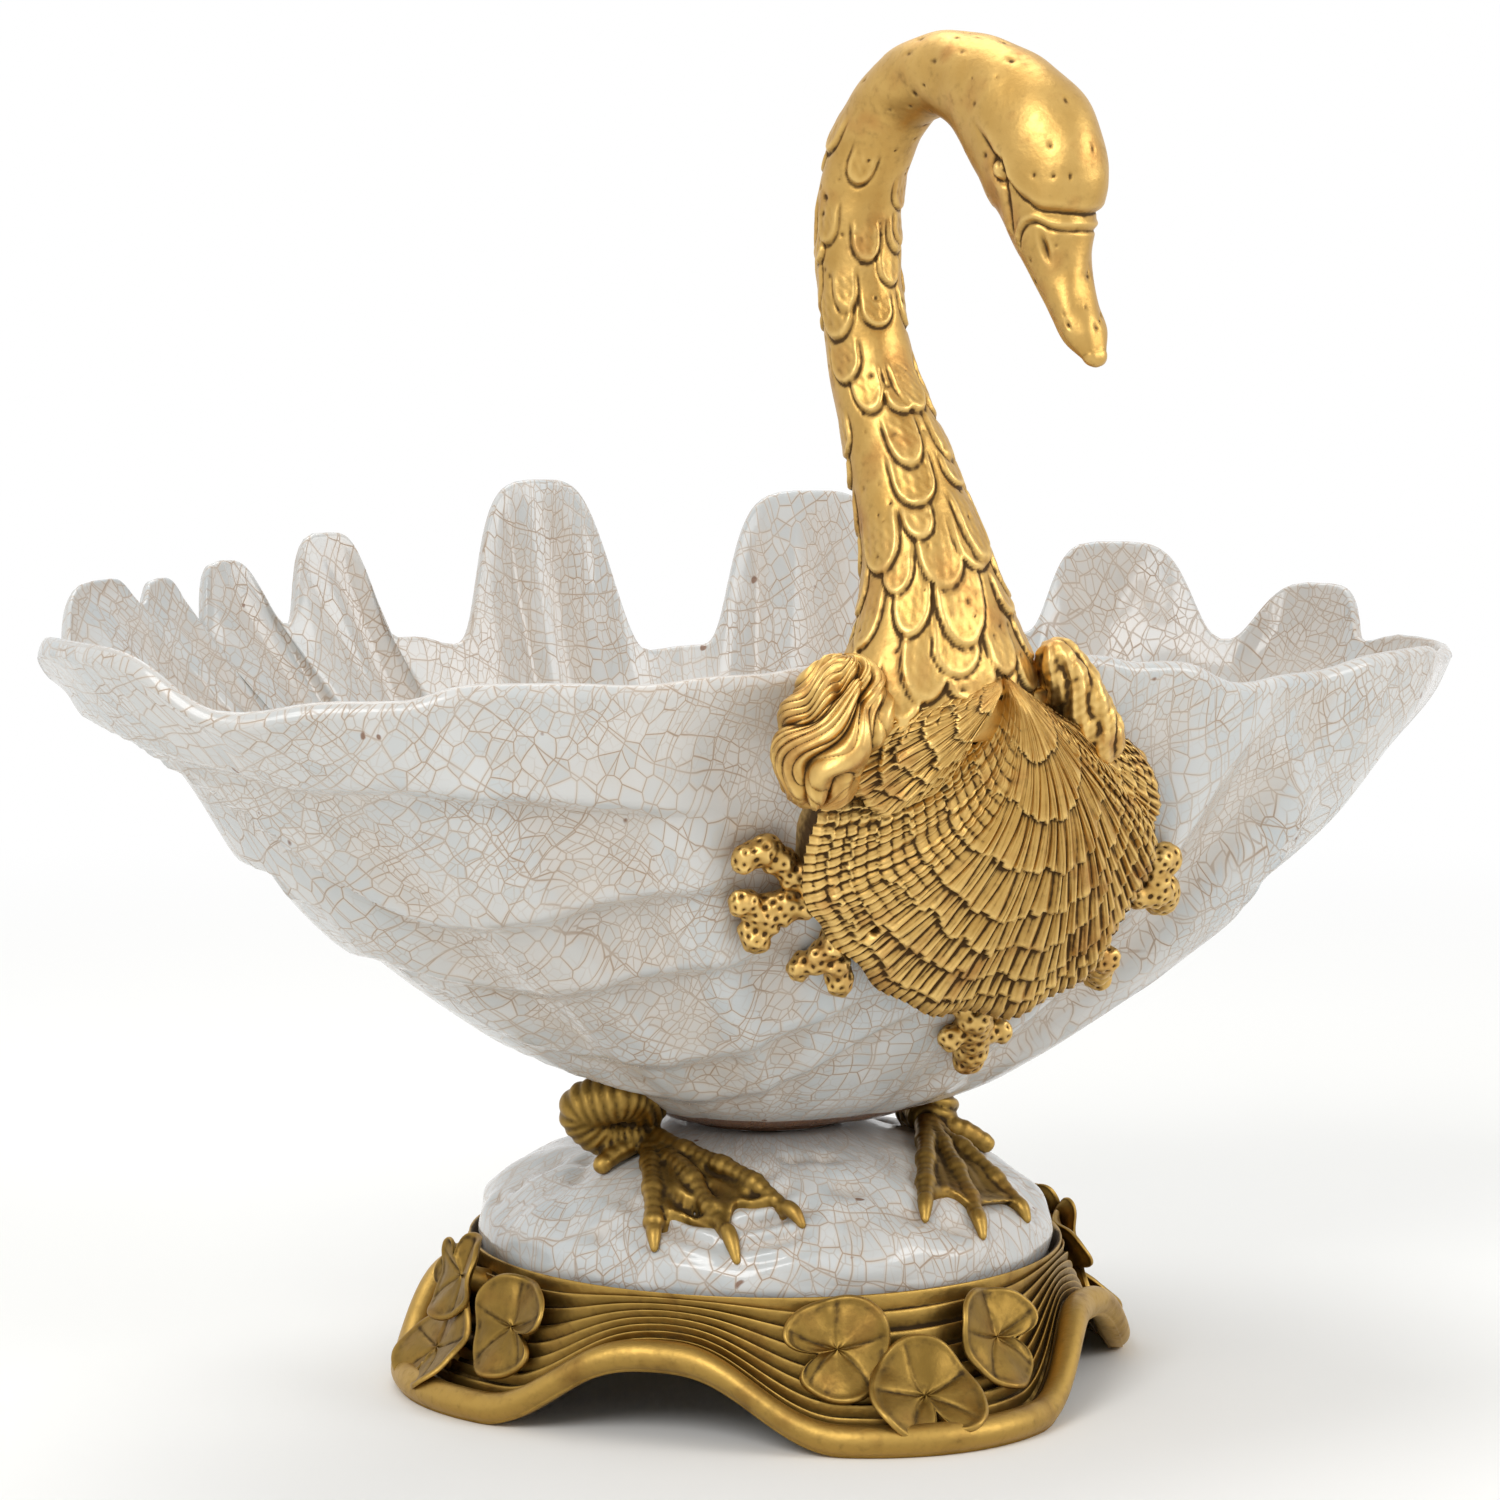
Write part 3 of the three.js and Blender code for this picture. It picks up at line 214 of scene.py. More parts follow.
def flowing(at, places, values):
    """A smooth curve through the values at the given places, read at other places."""
    places = np.asarray(places, float)
    values = np.asarray(values, float)
    slopes = np.gradient(values, places, axis=0)
    at = np.clip(at, places[0], places[-1])
    k = np.clip(np.searchsorted(places, at, side="right") - 1, 0, len(places) - 2)
    span = places[k + 1] - places[k]
    u = (at - places[k]) / span
    if values.ndim > 1:
        u, span = u[..., None], span[..., None]
    start, end = values[k], values[k + 1]
    lean, rise = slopes[k] * span, slopes[k + 1] * span
    return ((2 * u**3 - 3 * u**2 + 1) * start + (u**3 - 2 * u**2 + u) * lean
            + (3 * u**2 - 2 * u**3) * end + (u**3 - u**2) * rise)


def grid_faces(columns, rows, around=False, ring=False):
    """Quads over a grid of columns by rows; around closes the columns and ring closes the rows."""
    i = np.arange(columns if around else columns - 1)
    j = np.arange(rows if ring else rows - 1)
    i, j = np.meshgrid(i, j, indexing="ij")
    i, j = i.ravel(), j.ravel()
    near, far = (i + 1) % columns, (j + 1) % rows
    return np.stack([i * rows + j, near * rows + j, near * rows + far, i * rows + far], 1)


def mesh_piece(name, points, faces, material, slot, *nodes):
    """A smooth piece of the object from points in millimetres, which rides on the one body."""
    mesh = bpy.data.meshes.new(name)
    mesh.from_pydata(place(points).tolist(), [], [list(map(int, face)) for face in faces])
    mesh.update()
    mesh.materials.append(material)
    made = bpy.data.objects.new(name, mesh)
    bpy.context.scene.collection.objects.link(made)
    mesh.polygons.foreach_set("use_smooth", np.ones(len(mesh.polygons), bool))
    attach(made, "root")
    if nodes:
        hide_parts(*nodes)
    return made


def face_out(points, faces):
    """The faces turned so that they point out of the solid."""
    faces = np.asarray(faces)
    a, b, c, d = (points[faces[:, k]] for k in range(4))
    volume = np.einsum("ij,ij->", a, np.cross(b, c) + np.cross(c, d))
    return faces if volume > 0 else faces[:, ::-1]


def skin_of(rings, ring=False):
    """The points and the outward faces of a wall made of columns of points; ring closes the rows."""
    points = rings.reshape(-1, 3)
    return points, face_out(points, grid_faces(*rings.shape[:2], around=True, ring=ring))


def about_axis(reach, turn, z):
    """Points at a reach from the upright axis, a turn about it and a height."""
    return np.stack([reach * np.cos(turn), reach * np.sin(turn), z], -1)


def numbers_of(items, field, width, kind=np.float32):
    """One field of a mesh's vertices, edges or loops, in rows of a width."""
    values = np.zeros(len(items) * width, kind)
    items.foreach_get(field, values)
    return values.reshape(-1, width)


def neighbours(mesh):
    """Each edge's two ends, taken both ways round, and how many edges meet at each point."""
    a, b = numbers_of(mesh.edges, "vertices", 2, np.int32).T
    ends, others = np.concatenate([a, b]), np.concatenate([b, a])
    return ends, others, np.maximum(np.bincount(ends, minlength=len(mesh.vertices)), 1)


def blurred_once(points, ends, others, links):
    """Each point moved to the mean of its neighbours."""
    return np.stack([np.bincount(ends, points[others, k], len(points)) / links for k in range(3)], -1)


def crackled_glaze(name, stain_and_shade):
    """Feldspathic crackle glaze: a glassy bluish white coat with tan ink in long curved cracks and in
    shorter cross cracks, beige where the ink has crept in, with a beige stain that wanders at random and is
    laid thicker in the hollows as painted shade. Its net follows the length of the wall."""
    material = blank_material(name)
    tree = material.node_tree
    spot = add(tree, "Attribute", {"attribute_name": "glaze_run"}).outputs["Vector"]
    solid = add(tree, "TexCoord").outputs["Object"]
    crease = add(tree, "Attribute", {"attribute_name": "hollow"}).outputs["Fac"]
    bend = add(tree, "TexNoise", Vector=solid, Scale=26.0, Detail=2.0)
    bend = add(tree, "VectorMath", {"operation": "SUBTRACT"}, i0=bend.outputs["Color"], i1=(0.5, 0.5, 0.5))
    bend = add(tree, "VectorMath", {"operation": "SCALE"}, i0=bend.outputs[0], Scale=CRACK_BEND)
    spot = add(tree, "VectorMath", {"operation": "ADD"}, i0=spot, i1=bend.outputs[0]).outputs[0]
    lines, halos = [], []
    for cell, uneven, reach in ((CRACK_CELL, CELL_UNEVEN, 1.0), (FINE_CELL, FINE_UNEVEN, 0.7)):
        edge = add(tree, "TexVoronoi", {"feature": "DISTANCE_TO_EDGE", "voronoi_dimensions": "2D"},
                   Vector=spot, Scale=1 / cell, Randomness=uneven)
        gap = add(tree, "Math", {"operation": "MULTIPLY"}, i0=edge.outputs["Distance"], i1=cell).outputs[0]
        line = add(tree, "MapRange", {"interpolation_type": "SMOOTHSTEP"}, Value=gap,
                   From_Min=CRACK_WIDTH * 0.25, From_Max=CRACK_WIDTH, To_Min=reach, To_Max=0.0)
        halo = add(tree, "MapRange", {"interpolation_type": "SMOOTHERSTEP"}, Value=gap, From_Min=0.0,
                   From_Max=HALO_WIDTH * reach, To_Min=reach, To_Max=0.0)
        lines.append(line.outputs[0])
        halos.append(halo.outputs[0])
    patch = add(tree, "TexNoise", Vector=solid, Scale=24.0, Detail=3.0).outputs["Fac"]
    patch = add(tree, "Math", {"operation": "MULTIPLY_ADD"}, i0=crease, i1=0.35, i2=patch).outputs[0]
    shown_fine = add(tree, "MapRange", Value=patch, From_Min=0.42, From_Max=0.6).outputs[0]
    lines[1] = add(tree, "Math", {"operation": "MULTIPLY"}, i0=lines[1], i1=shown_fine).outputs[0]
    halos[1] = add(tree, "Math", {"operation": "MULTIPLY"}, i0=halos[1], i1=shown_fine).outputs[0]
    apart = add(tree, "SeparateXYZ", Vector=spot).outputs
    for axis in (0, 1):
        step = add(tree, "Math", {"operation": "MULTIPLY"}, i0=apart[axis], i1=1 / LONG_CRACK).outputs[0]
        step = add(tree, "Math", {"operation": "PINGPONG"}, i0=step, i1=0.5).outputs[0]
        gap = add(tree, "Math", {"operation": "MULTIPLY"}, i0=step, i1=LONG_CRACK).outputs[0]
        line = add(tree, "MapRange", {"interpolation_type": "SMOOTHSTEP"}, Value=gap,
                   From_Min=CRACK_WIDTH * 0.2, From_Max=CRACK_WIDTH * 1.1, To_Min=0.9, To_Max=0.0)
        halo = add(tree, "MapRange", {"interpolation_type": "SMOOTHERSTEP"}, Value=gap, From_Min=0.0,
                   From_Max=HALO_WIDTH, To_Min=0.9, To_Max=0.0)
        lines.append(line.outputs[0])
        halos.append(halo.outputs[0])
    while len(lines) > 1:
        for nets in (lines, halos):
            larger = add(tree, "Math", {"operation": "MAXIMUM"}, i0=nets.pop(0), i1=nets.pop(0))
            nets.append(larger.outputs[0])
    fade = add(tree, "TexNoise", Vector=solid, Scale=60.0, Detail=2.0).outputs["Fac"]
    fade = add(tree, "MapRange", Value=fade, From_Min=0.3, From_Max=0.62, To_Min=0.45).outputs[0]
    line = add(tree, "Math", {"operation": "MULTIPLY"}, i0=lines[0], i1=fade).outputs[0]
    tint = add(tree, "TexVoronoi", {"voronoi_dimensions": "2D"}, Vector=spot, Scale=1 / CRACK_CELL,
               Randomness=CELL_UNEVEN).outputs["Color"]
    tint = add(tree, "SeparateColor", Color=tint).outputs[0]
    glaze = add(tree, "Mix", {"data_type": "RGBA"}, i0=tint, i6=linear(GLAZE_PALE), i7=linear(GLAZE_GREY))
    # The stain: noise gives a real stain that wanders at random, and the hollow mask adds painted shade, so
    # the glaze is beiger in its hollows.
    cloud = add(tree, "TexNoise", Vector=solid, Scale=9.0, Detail=2.0).outputs["Fac"]
    cloud = add(tree, "Math", {"operation": "MULTIPLY_ADD"}, i0=crease, i1=0.5, i2=cloud).outputs[0]
    cloud = add(tree, "MapRange", Value=cloud, From_Min=0.35, From_Max=0.75, To_Min=stain_and_shade * 0.3,
                To_Max=stain_and_shade).outputs[0]
    stained_and_shaded = add(tree, "Mix", {"data_type": "RGBA"}, i0=cloud, i6=glaze.outputs[2], i7=linear(GLAZE_STAIN))
    creep = add(tree, "Math", {"operation": "MULTIPLY"}, i0=halos[0], i1=0.5).outputs[0]
    crept = add(tree, "Mix", {"data_type": "RGBA"}, i0=creep, i6=stained_and_shaded.outputs[2], i7=linear(GLAZE_STAIN))
    ink = add(tree, "Math", {"operation": "MULTIPLY"}, i0=line, i1=0.78).outputs[0]
    inked = add(tree, "Mix", {"data_type": "RGBA"}, i0=ink, i6=crept.outputs[2], i7=linear(CRACK_TAN))
    speck = add(tree, "TexNoise", Vector=solid, Scale=150.0, Detail=1.0).outputs["Fac"]
    speck = add(tree, "MapRange", Value=speck, From_Min=0.77, From_Max=0.8, To_Max=0.85).outputs[0]
    inked = add(tree, "Mix", {"data_type": "RGBA"}, i0=speck, i6=inked.outputs[2], i7=linear(BARE_CLAY))
    bare = add(tree, "Attribute", {"attribute_name": "bare"}).outputs["Fac"]
    bare = add(tree, "Math", {"operation": "MULTIPLY_ADD"}, i0=patch, i1=bare, i2=0.0)
    bare = add(tree, "MapRange", Value=bare.outputs[0], From_Min=0.36, From_Max=0.44).outputs[0]
    inked = add(tree, "Mix", {"data_type": "RGBA"}, i0=bare, i6=inked.outputs[2], i7=linear(BARE_CLAY))
    dip = add(tree, "Math", {"operation": "MULTIPLY"}, i0=line, i1=-1.0).outputs[0]
    pore = add(tree, "Bump", Strength=0.2, Distance=0.0002, Height=dip)
    rough = add(tree, "MapRange", Value=line, To_Min=0.12, To_Max=0.4)
    skin = add(tree, "BsdfPrincipled", Base_Color=inked.outputs[2], Roughness=rough.outputs[0], IOR=1.5,
               Normal=pore.outputs[0])
    add(tree, "OutputMaterial", Surface=skin.outputs[0])
    return material


def glaze_run(made, rings, joint):
    """Keeps on each point where it lies on the wall rolled flat, in millimetres: the way along the
    wall from the axis, in the point's own direction. The inside starts at the row called joint."""
    steps = np.linalg.norm(np.diff(rings, axis=1), axis=-1)
    first = np.linalg.norm(rings[:, :1, :2], axis=-1)
    out = np.concatenate([first, first + np.cumsum(steps, axis=1)], axis=1)
    last = np.linalg.norm(rings[:, -1:, :2], axis=-1)
    back = np.concatenate([last, last + np.cumsum(steps[:, ::-1], axis=1)], axis=1)[:, ::-1]
    inside = np.arange(rings.shape[1]) >= joint
    run = np.where(inside, back, out)
    way = np.arctan2(rings[..., 1], rings[..., 0])
    flat = np.stack([run * np.cos(way) + INSIDE_APART * inside, run * np.sin(way), np.zeros_like(run)], -1)
    layer = made.data.attributes.new("glaze_run", "FLOAT_VECTOR", "POINT")
    layer.data.foreach_set("vector", flat.reshape(-1).astype(np.float32))


def painted_light_and_wear_masks(made, near, wide, strong=1.0):
    """Keeps on each point how far it lies in a hollow (0 to 1) and how far on a crest, measured from
    the surface blurred over a few and over many neighbours. The hollow mask lays painted shade with the
    bronze's brown patina and the glaze's stain; the crest mask lays a painted highlight with the rubbed
    gilding."""
    mesh = made.data
    points = numbers_of(mesh.vertices, "co", 3).astype(float)
    normals = numbers_of(mesh.vertices, "normal", 3)
    net = neighbours(mesh)
    blurred = points.copy()
    sunk = np.zeros(len(points))
    for step in range(wide):
        blurred = blurred_once(blurred, *net)
        if step == near - 1:
            sunk += np.einsum("ij,ij->i", blurred - points, normals) * 1000
    sunk += 0.5 * np.einsum("ij,ij->i", blurred - points, normals) * 1000
    # hollow feeds painted shade as well as patina and stain; crest feeds a painted highlight as well as
    # rubbed gilding
    for name, value in (("hollow", sunk), ("crest", -sunk)):
        layer = mesh.attributes.new(name, "FLOAT", "POINT")
        layer.data.foreach_set("value", np.clip(value * strong, 0, 1).astype(np.float32))


rock_glaze = crackled_glaze("crackle_glazed_stoneware", 0.45)
bowl_glaze = crackled_glaze("crackle_glazed_porcelain", 0.5)


def rock_surface(turn, height, depth):
    """Points of the stand: turn about the axis, share of the height, and depth in from outside."""
    share = flowing(height, *zip(*ROCK_PROFILE))
    lump = 1.6 * np.sin(3 * turn + 1) + 1.2 * np.sin(5 * turn + 2.3 + 2 * height)
    loose = np.sin(np.pi * np.clip((height - 0.2) / 0.75, 0, 1))
    slope = np.clip((height - 0.2) / 0.8, 0, 1)
    inset = depth * (1 - 0.75 * slope)
    x = (ROCK_HALF_X * share - inset + lump * loose) * np.cos(turn)
    y = (ROCK_HALF_Y * share - inset + lump * loose) * np.sin(turn)
    return np.stack([x, y, ROCK_SEAT + (ROCK_TOP - ROCK_SEAT) * height - depth * slope], -1)


def joined(parts):
    """Grids of points and their faces as one list of each."""
    points, faces, first = [], [], 0
    for some, quads in parts:
        points.append(some)
        faces.append(np.asarray(quads) + first)
        first += len(some)
    return np.concatenate(points), np.concatenate(faces)


chance = random.Random(11)
turn, height = np.meshgrid(np.linspace(0, 2 * np.pi, ROCK_COLUMNS, endpoint=False),
                           np.linspace(0, 1, ROCK_ROWS), indexing="ij")
outside = rock_surface(turn, height, 0)
worn = (0.8 * np.sin(9 * turn + 7 * height) * np.sin(11 * height + 3 * turn)
        + 0.6 * np.sin(17 * turn - 9 * height + 1)) * np.sin(np.pi * height)
rippled = smooth(1 - np.abs(np.degrees(turn) - RIPPLES_AT[0]) / RIPPLES_REACH[0])
rippled = rippled * smooth(1 - np.abs(height - RIPPLES_AT[1]) / RIPPLES_REACH[1])
worn += RIPPLE_DEPTH * rippled * np.sin(52 * height + 6 * np.sin(5 * turn)) * np.abs(np.sin(9 * turn + 1))
for _ in range(DIMPLES):
    centre = rock_surface(np.array(chance.uniform(0, 2 * np.pi)), np.array(chance.uniform(0.4, 0.94)), 0)
    radius = chance.uniform(*DIMPLE_RADII)
    near = np.linalg.norm((outside - centre) * (1, 1, 1.6), axis=-1) / radius
    worn -= chance.uniform(*DIMPLE_DEPTHS) * np.exp(-near**2 * 1.4)
outward = outside * (1, 1, 0.9)
outward = outward / np.linalg.norm(outward, axis=-1, keepdims=True)
from_edge = smooth(height / 0.08)[..., None]
from_top = smooth((1 - height) / 0.06)[..., None]
outside = outside + outward * (worn - 0.6)[..., None] * from_edge * from_top
inside = rock_surface(turn, height, ROCK_WALL)[:, ::-1]
bore = [about_axis(ROCK_BORE, turn[:, 0], np.full(ROCK_COLUMNS, z))
        for z in (ROCK_TOP, ROCK_TOP - ROCK_WALL)]
rings = np.concatenate([outside, bore[0][:, None], bore[1][:, None], inside], axis=1)
rock_points, rock_faces = skin_of(rings, ring=True)
rock = mesh_piece("rock_stand", rock_points, rock_faces, rock_glaze, "crackle_porcelain", "rock_base")
painted_light_and_wear_masks(rock, near=4, wide=20, strong=1.7)
glaze_run(rock, rings[:, ::-1], ROCK_ROWS)

# Clam-shell bowl
# The bowl is slip-cast porcelain in the shape of a giant clam half: thick folds run from the foot to
# the lobes of the rim. It is crackle glazed all over, with unglazed brown spots near the foot.
BOWL_HALF_LENGTH = 225.6
BOWL_FRONT = 118.0
BOWL_BACK = 119.2
BOWL_CENTRE_Y = -5.0
BOWL_SQUARENESS = 2.3
BOWL_FOOT = 72.5
RIM_HEIGHT = 212.0
BOWL_WALL = 6.5
RIM_WALL = 4.6
BOWL_BORE = 4.8
BOWL_COLUMNS = 500
OUTER_ROWS = 126
INNER_ROWS = 56
LIP_ROWS = 6
LOBE_ROUNDNESS = 1.65
# The way up the wall from foot to rim.
WALL_LENGTH = 170
# Degrees about the bowl, the rim's height from its mean, and how far the rim and the wall stand out.
RIM = np.array((
    (-16, -5, -2, -5), (-2, -4, 3, 3), (3, -7, -3, -3), (9, 10, 3, 3), (17, -9, -8, -5), (27, 22, 3, 3),
    (35, -7, -9, -5), (42, -7, -9, -6), (58, 40, 3, 3), (76, -8, -9, -6), (85, -9, -9, -6), (101, 46, 3, 3),
    (117, -4, -9, -6), (125, -1, -8, -5), (132, 32, 2, 3), (138.5, 5, -6, -4), (144, 25, 2, 3),
    (147.8, 5, -4, -3), (151, 21, 1, 2), (153.8, 14, -2, -2), (157, 22, 1, 2), (168, 0, -5, -5),
    (184, 12, 2, 4), (198, -4, 0, -5), (209, 0, 0, 4), (218, 5, 0, -4), (229, 4, 0, 3), (241, 6, 0, -3),
    (253, 8, 0, 2), (287, 7, 0, 2), (298, 4, 0, -3), (312, -4, 1, 4), (322, -3, -2, -5),
    (332, 1, 3, 6)), float)
# Share of the height, then of the half-length on the left and right, and of the half-depth.
BOWL_PROFILE = np.array((
    (0, 0.14, 0.2, 0.26), (0.047, 0.2, 0.3, 0.38), (0.12, 0.285, 0.39, 0.49), (0.21, 0.385, 0.475, 0.59),
    (0.34, 0.51, 0.605, 0.69), (0.484, 0.635, 0.72, 0.77), (0.627, 0.73, 0.835, 0.84),
    (0.77, 0.815, 0.91, 0.91), (0.9, 0.915, 0.975, 0.965), (1, 1, 1, 1)))
# Each overlapping fold of the wall: its line in degrees and share of the height, its stand and its spread.
FOLDS = (
    (((158, 0.99), (172, 0.9), (180, 0.85), (190, 0.82), (199, 0.838), (205, 0.828), (217, 0.78),
      (236, 0.76)), 3.0, 20),
    (((162, 0.93), (174, 0.85), (181, 0.785), (187, 0.715), (191, 0.625), (195, 0.537), (203, 0.52),
      (212, 0.547), (221, 0.578), (238, 0.61)), 3.5, 19),
    (((164, 0.7), (176, 0.6), (183, 0.54), (185, 0.445), (190, 0.39), (196, 0.362), (203, 0.36),
      (211, 0.383), (224, 0.417), (246, 0.46)), 3.0, 16),
    (((166, 0.5), (178, 0.4), (186, 0.345), (188, 0.245), (192, 0.208), (201, 0.188), (217, 0.198),
      (242, 0.27), (266, 0.36)), 3.0, 14),
    (((168, 0.26), (180, 0.16), (190, 0.1), (214, 0.095), (244, 0.158), (268, 0.26), (284, 0.31)), 2.8, 11),
    (((314, 1.02), (320, 0.94), (325, 0.82), (329, 0.69), (333, 0.54), (339, 0.42), (347, 0.33),
      (356, 0.28)), -3.4, 17),
    (((300, 0.08), (320, 0.14), (330, 0.208), (334, 0.253), (338, 0.33), (344, 0.4)), -3.4, 12),
)
# How softly a fold turns at its line, for those on the left and those on the right.
FOLD_EDGES = (1.5, 7.0)
# Ridges inside the lobes of the back: degrees, stand and width in degrees.
LOBE_RIDGES = (
    (27, -1.6, 1.2), (23, 0.9, 1.4), (31.5, 0.9, 1.6), (52, 1.4, 1.6), (56.5, -2.2, 1.0), (60.5, 1.5, 1.5),
    (65, -1.2, 1.2), (95, 1.3, 1.7), (99.5, -2.3, 0.9), (103, 1.6, 1.3), (106.5, -1.4, 1.0), (129, 1.0, 0.8),
    (131.5, -1.6, 0.6), (134, 1.1, 0.8), (143, 0.9, 0.6), (144.6, -1.3, 0.5), (150.5, 0.8, 0.5),
    (151.6, -1.1, 0.4), (158, -1.2, 0.8),
)


def rim_at(degrees):
    """The rim's height and stand, and the wall's stand, with round lobes and narrow valleys."""
    turned = (degrees - RIM[0, 0]) % 360 + RIM[0, 0]
    k = np.searchsorted(RIM[:, 0], turned, side="right") - 1
    start, end = RIM[k], RIM[(k + 1) % len(RIM)]
    u = (turned - start[..., 0]) / ((end[..., 0] - start[..., 0]) % 360)
    rounded = np.where(start[..., 1] > end[..., 1], u**LOBE_ROUNDNESS, 1 - (1 - u) ** LOBE_ROUNDNESS)
    eased = 0.4 * smooth(rounded) + 0.6 * smooth(smooth(rounded))
    return start[..., 1:] + (end - start)[..., 1:] * eased[..., None]


def plain_wall(degrees, height):
    """The wall's outside before its folds and lobes."""
    cos, sin = np.cos(np.radians(degrees)), np.sin(np.radians(degrees))
    depth = np.where(sin < 0, BOWL_FRONT, BOWL_BACK)
    power = BOWL_SQUARENESS
    reach = (np.abs(cos / BOWL_HALF_LENGTH) ** power + np.abs(sin / depth) ** power) ** (-1 / power)
    shares = flowing(height, BOWL_PROFILE[:, 0], BOWL_PROFILE[:, 1:])
    long = shares[..., 0] + (shares[..., 1] - shares[..., 0]) * smooth((1 + cos) / 2)
    return np.stack([reach * cos * long, BOWL_CENTRE_Y * smooth(height) + reach * sin * shares[..., 2],
                     BOWL_FOOT + (RIM_HEIGHT - BOWL_FOOT) * height], -1)


def wall_normal(degrees, height):
    """The plain wall's outward direction."""
    low, high = np.clip(height - 0.05, 0, 1), np.clip(height + 0.05, 0, 1)
    along = plain_wall(degrees + 2, height) - plain_wall(degrees - 2, height)
    upward = plain_wall(degrees, high) - plain_wall(degrees, low)
    across = np.cross(along, upward)
    return across / np.linalg.norm(across, axis=-1, keepdims=True)


def bowl_wall(degrees, height, depth, folds):
    """Points of the bowl: degrees about it, share of the height, depth in from outside, and how much
    of the folds shows."""
    rim = rim_at(degrees)
    point = plain_wall(degrees, height)
    normal = wall_normal(degrees, height)
    outward = normal * (1, 1, 0)
    outward = outward / np.linalg.norm(outward, axis=-1, keepdims=True)
    stand = rim[..., 1] * height**3 + rim[..., 2] * np.sin(np.pi * np.clip(height, 0, 1))
    for line, step, spread in FOLDS:
        at, level = zip(*line)
        below = (flowing(degrees % 360, at, level) - height) * WALL_LENGTH
        inside = smooth((degrees % 360 - at[0]) / 10) * smooth((at[-1] - degrees % 360) / 18)
        inside = inside * smooth((1 - height) / 0.1)
        turned_over = np.tanh(below / FOLD_EDGES[step < 0])
        stand = stand - folds * step * inside * np.exp(-np.abs(below) / spread) * turned_over
    point = point + outward * stand[..., None]
    point[..., 2] += (rim[..., 0] - RIM_WALL / 2) * height**4
    return point - normal * np.asarray(depth)[..., None]


degrees = np.linspace(0, 360, BOWL_COLUMNS, endpoint=False)
rim_gaps = np.abs(np.gradient(rim_at(degrees)[:, 0])) + 0.35
degrees = np.interp(np.linspace(0, rim_gaps.sum(), BOWL_COLUMNS, endpoint=False),
                    np.concatenate([[0], np.cumsum(rim_gaps)]), np.concatenate([degrees, [360]]))
around, up_wall = np.meshgrid(degrees, np.linspace(0, 1, OUTER_ROWS), indexing="ij")
outer = bowl_wall(around, up_wall, np.zeros_like(around), folds=1.2)
around_in, down_wall = np.meshgrid(degrees, np.linspace(1, 0.02, INNER_ROWS), indexing="ij")
thickness = BOWL_WALL + (RIM_WALL - BOWL_WALL) * down_wall**2
ridge = sum(stand * np.exp(-(((around_in - at + 180) % 360 - 180) / (width * 1.35)) ** 2)
            for at, stand, width in LOBE_RIDGES)
thickness = thickness + ridge * down_wall**1.5 * smooth((1.02 - down_wall) / 0.12)
inner = bowl_wall(around_in, down_wall, thickness, folds=0.35)
inner[..., 2] = np.maximum(inner[..., 2], BOWL_FOOT + BOWL_WALL)
top_out, top_in = outer[:, -1], inner[:, 0]
middle = (top_out + top_in) / 2
half = (top_out - top_in) / 2
rise = np.array((0, 0, 1)) * np.linalg.norm(half, axis=-1, keepdims=True)
bends = np.linspace(0, np.pi, LIP_ROWS + 2)[1:-1]
lip = np.stack([middle + half * np.cos(bend) + rise * np.sin(bend) for bend in bends], axis=1)
floor_shares = np.linspace(0.9, 0, 7)
bore_ring = np.stack([BOWL_BORE * np.cos(np.radians(degrees)), BOWL_BORE * np.sin(np.radians(degrees))], -1)
floor_rings, foot_rings = [], []
for share in floor_shares:
    inner_xy = bore_ring + (inner[:, -1, :2] - bore_ring) * share
    outer_xy = bore_ring + (outer[:, 0, :2] - bore_ring) * share
    floor_rings.append(np.concatenate([inner_xy, np.full((BOWL_COLUMNS, 1), BOWL_FOOT + BOWL_WALL)], -1))
    foot_rings.append(np.concatenate([outer_xy, np.full((BOWL_COLUMNS, 1), BOWL_FOOT)], -1))
rings = np.concatenate([np.stack(foot_rings[::-1], 1), outer, lip, inner, np.stack(floor_rings, 1)], axis=1)
bowl_points, bowl_faces = skin_of(rings, ring=True)
bowl = mesh_piece("clam_bowl", bowl_points, bowl_faces, bowl_glaze, "crackle_porcelain", "shell_bowl")
painted_light_and_wear_masks(bowl, near=4, wide=24, strong=0.8)
bare_at = np.concatenate([np.ones(len(foot_rings)), smooth((0.045 - up_wall[0]) / 0.03),
                          np.zeros(rings.shape[1] - len(foot_rings) - OUTER_ROWS)])
layer = bowl.data.attributes.new("bare", "FLOAT", "POINT")
layer.data.foreach_set("value", np.tile(bare_at, BOWL_COLUMNS).astype(np.float32))
glaze_run(bowl, rings, len(foot_rings) + OUTER_ROWS + LIP_ROWS // 2)

# Cast bronze finish and the plinth ring
# The ring is cast bronze, fire gilt and toned: bright on what a hand rubs, with a painted highlight on the
# crests, and brown in the hollows, where the brown is patina and painted shade. It has four lobes, a rolled
# border and reeds that follow the border's line, and it holds the stand's edge.
# The bright colours are rubbed gold and also the painted highlight on crests; the deep colours are patina
# and also the painted shade in hollows.
GILT_BRIGHT = "#E5C178"
GILT_MID = "#BA9350"
GILT_DEEP = "#452E12"
GILT_RUB = "#A66E34"
DULL_BRIGHT = "#B3914C"
DULL_MID = "#7A602D"
DULL_DEEP = "#35250F"
DULL_RUB = "#7E5B2C"
LOBE_REACH = 118.0
FRONT_LOBE_REACH = 126.0
ARCH_REACH = 104.0
ARCH_HEIGHT = 20.0
LIP_HEIGHT = 35.0
BEAD_HEIGHT = 9.0
BEAD_WIDTH = 9.0
LEDGE_REACH = 66.0
LEDGE_THICKNESS = 4.0
PLINTH_HOLLOW = 5.0
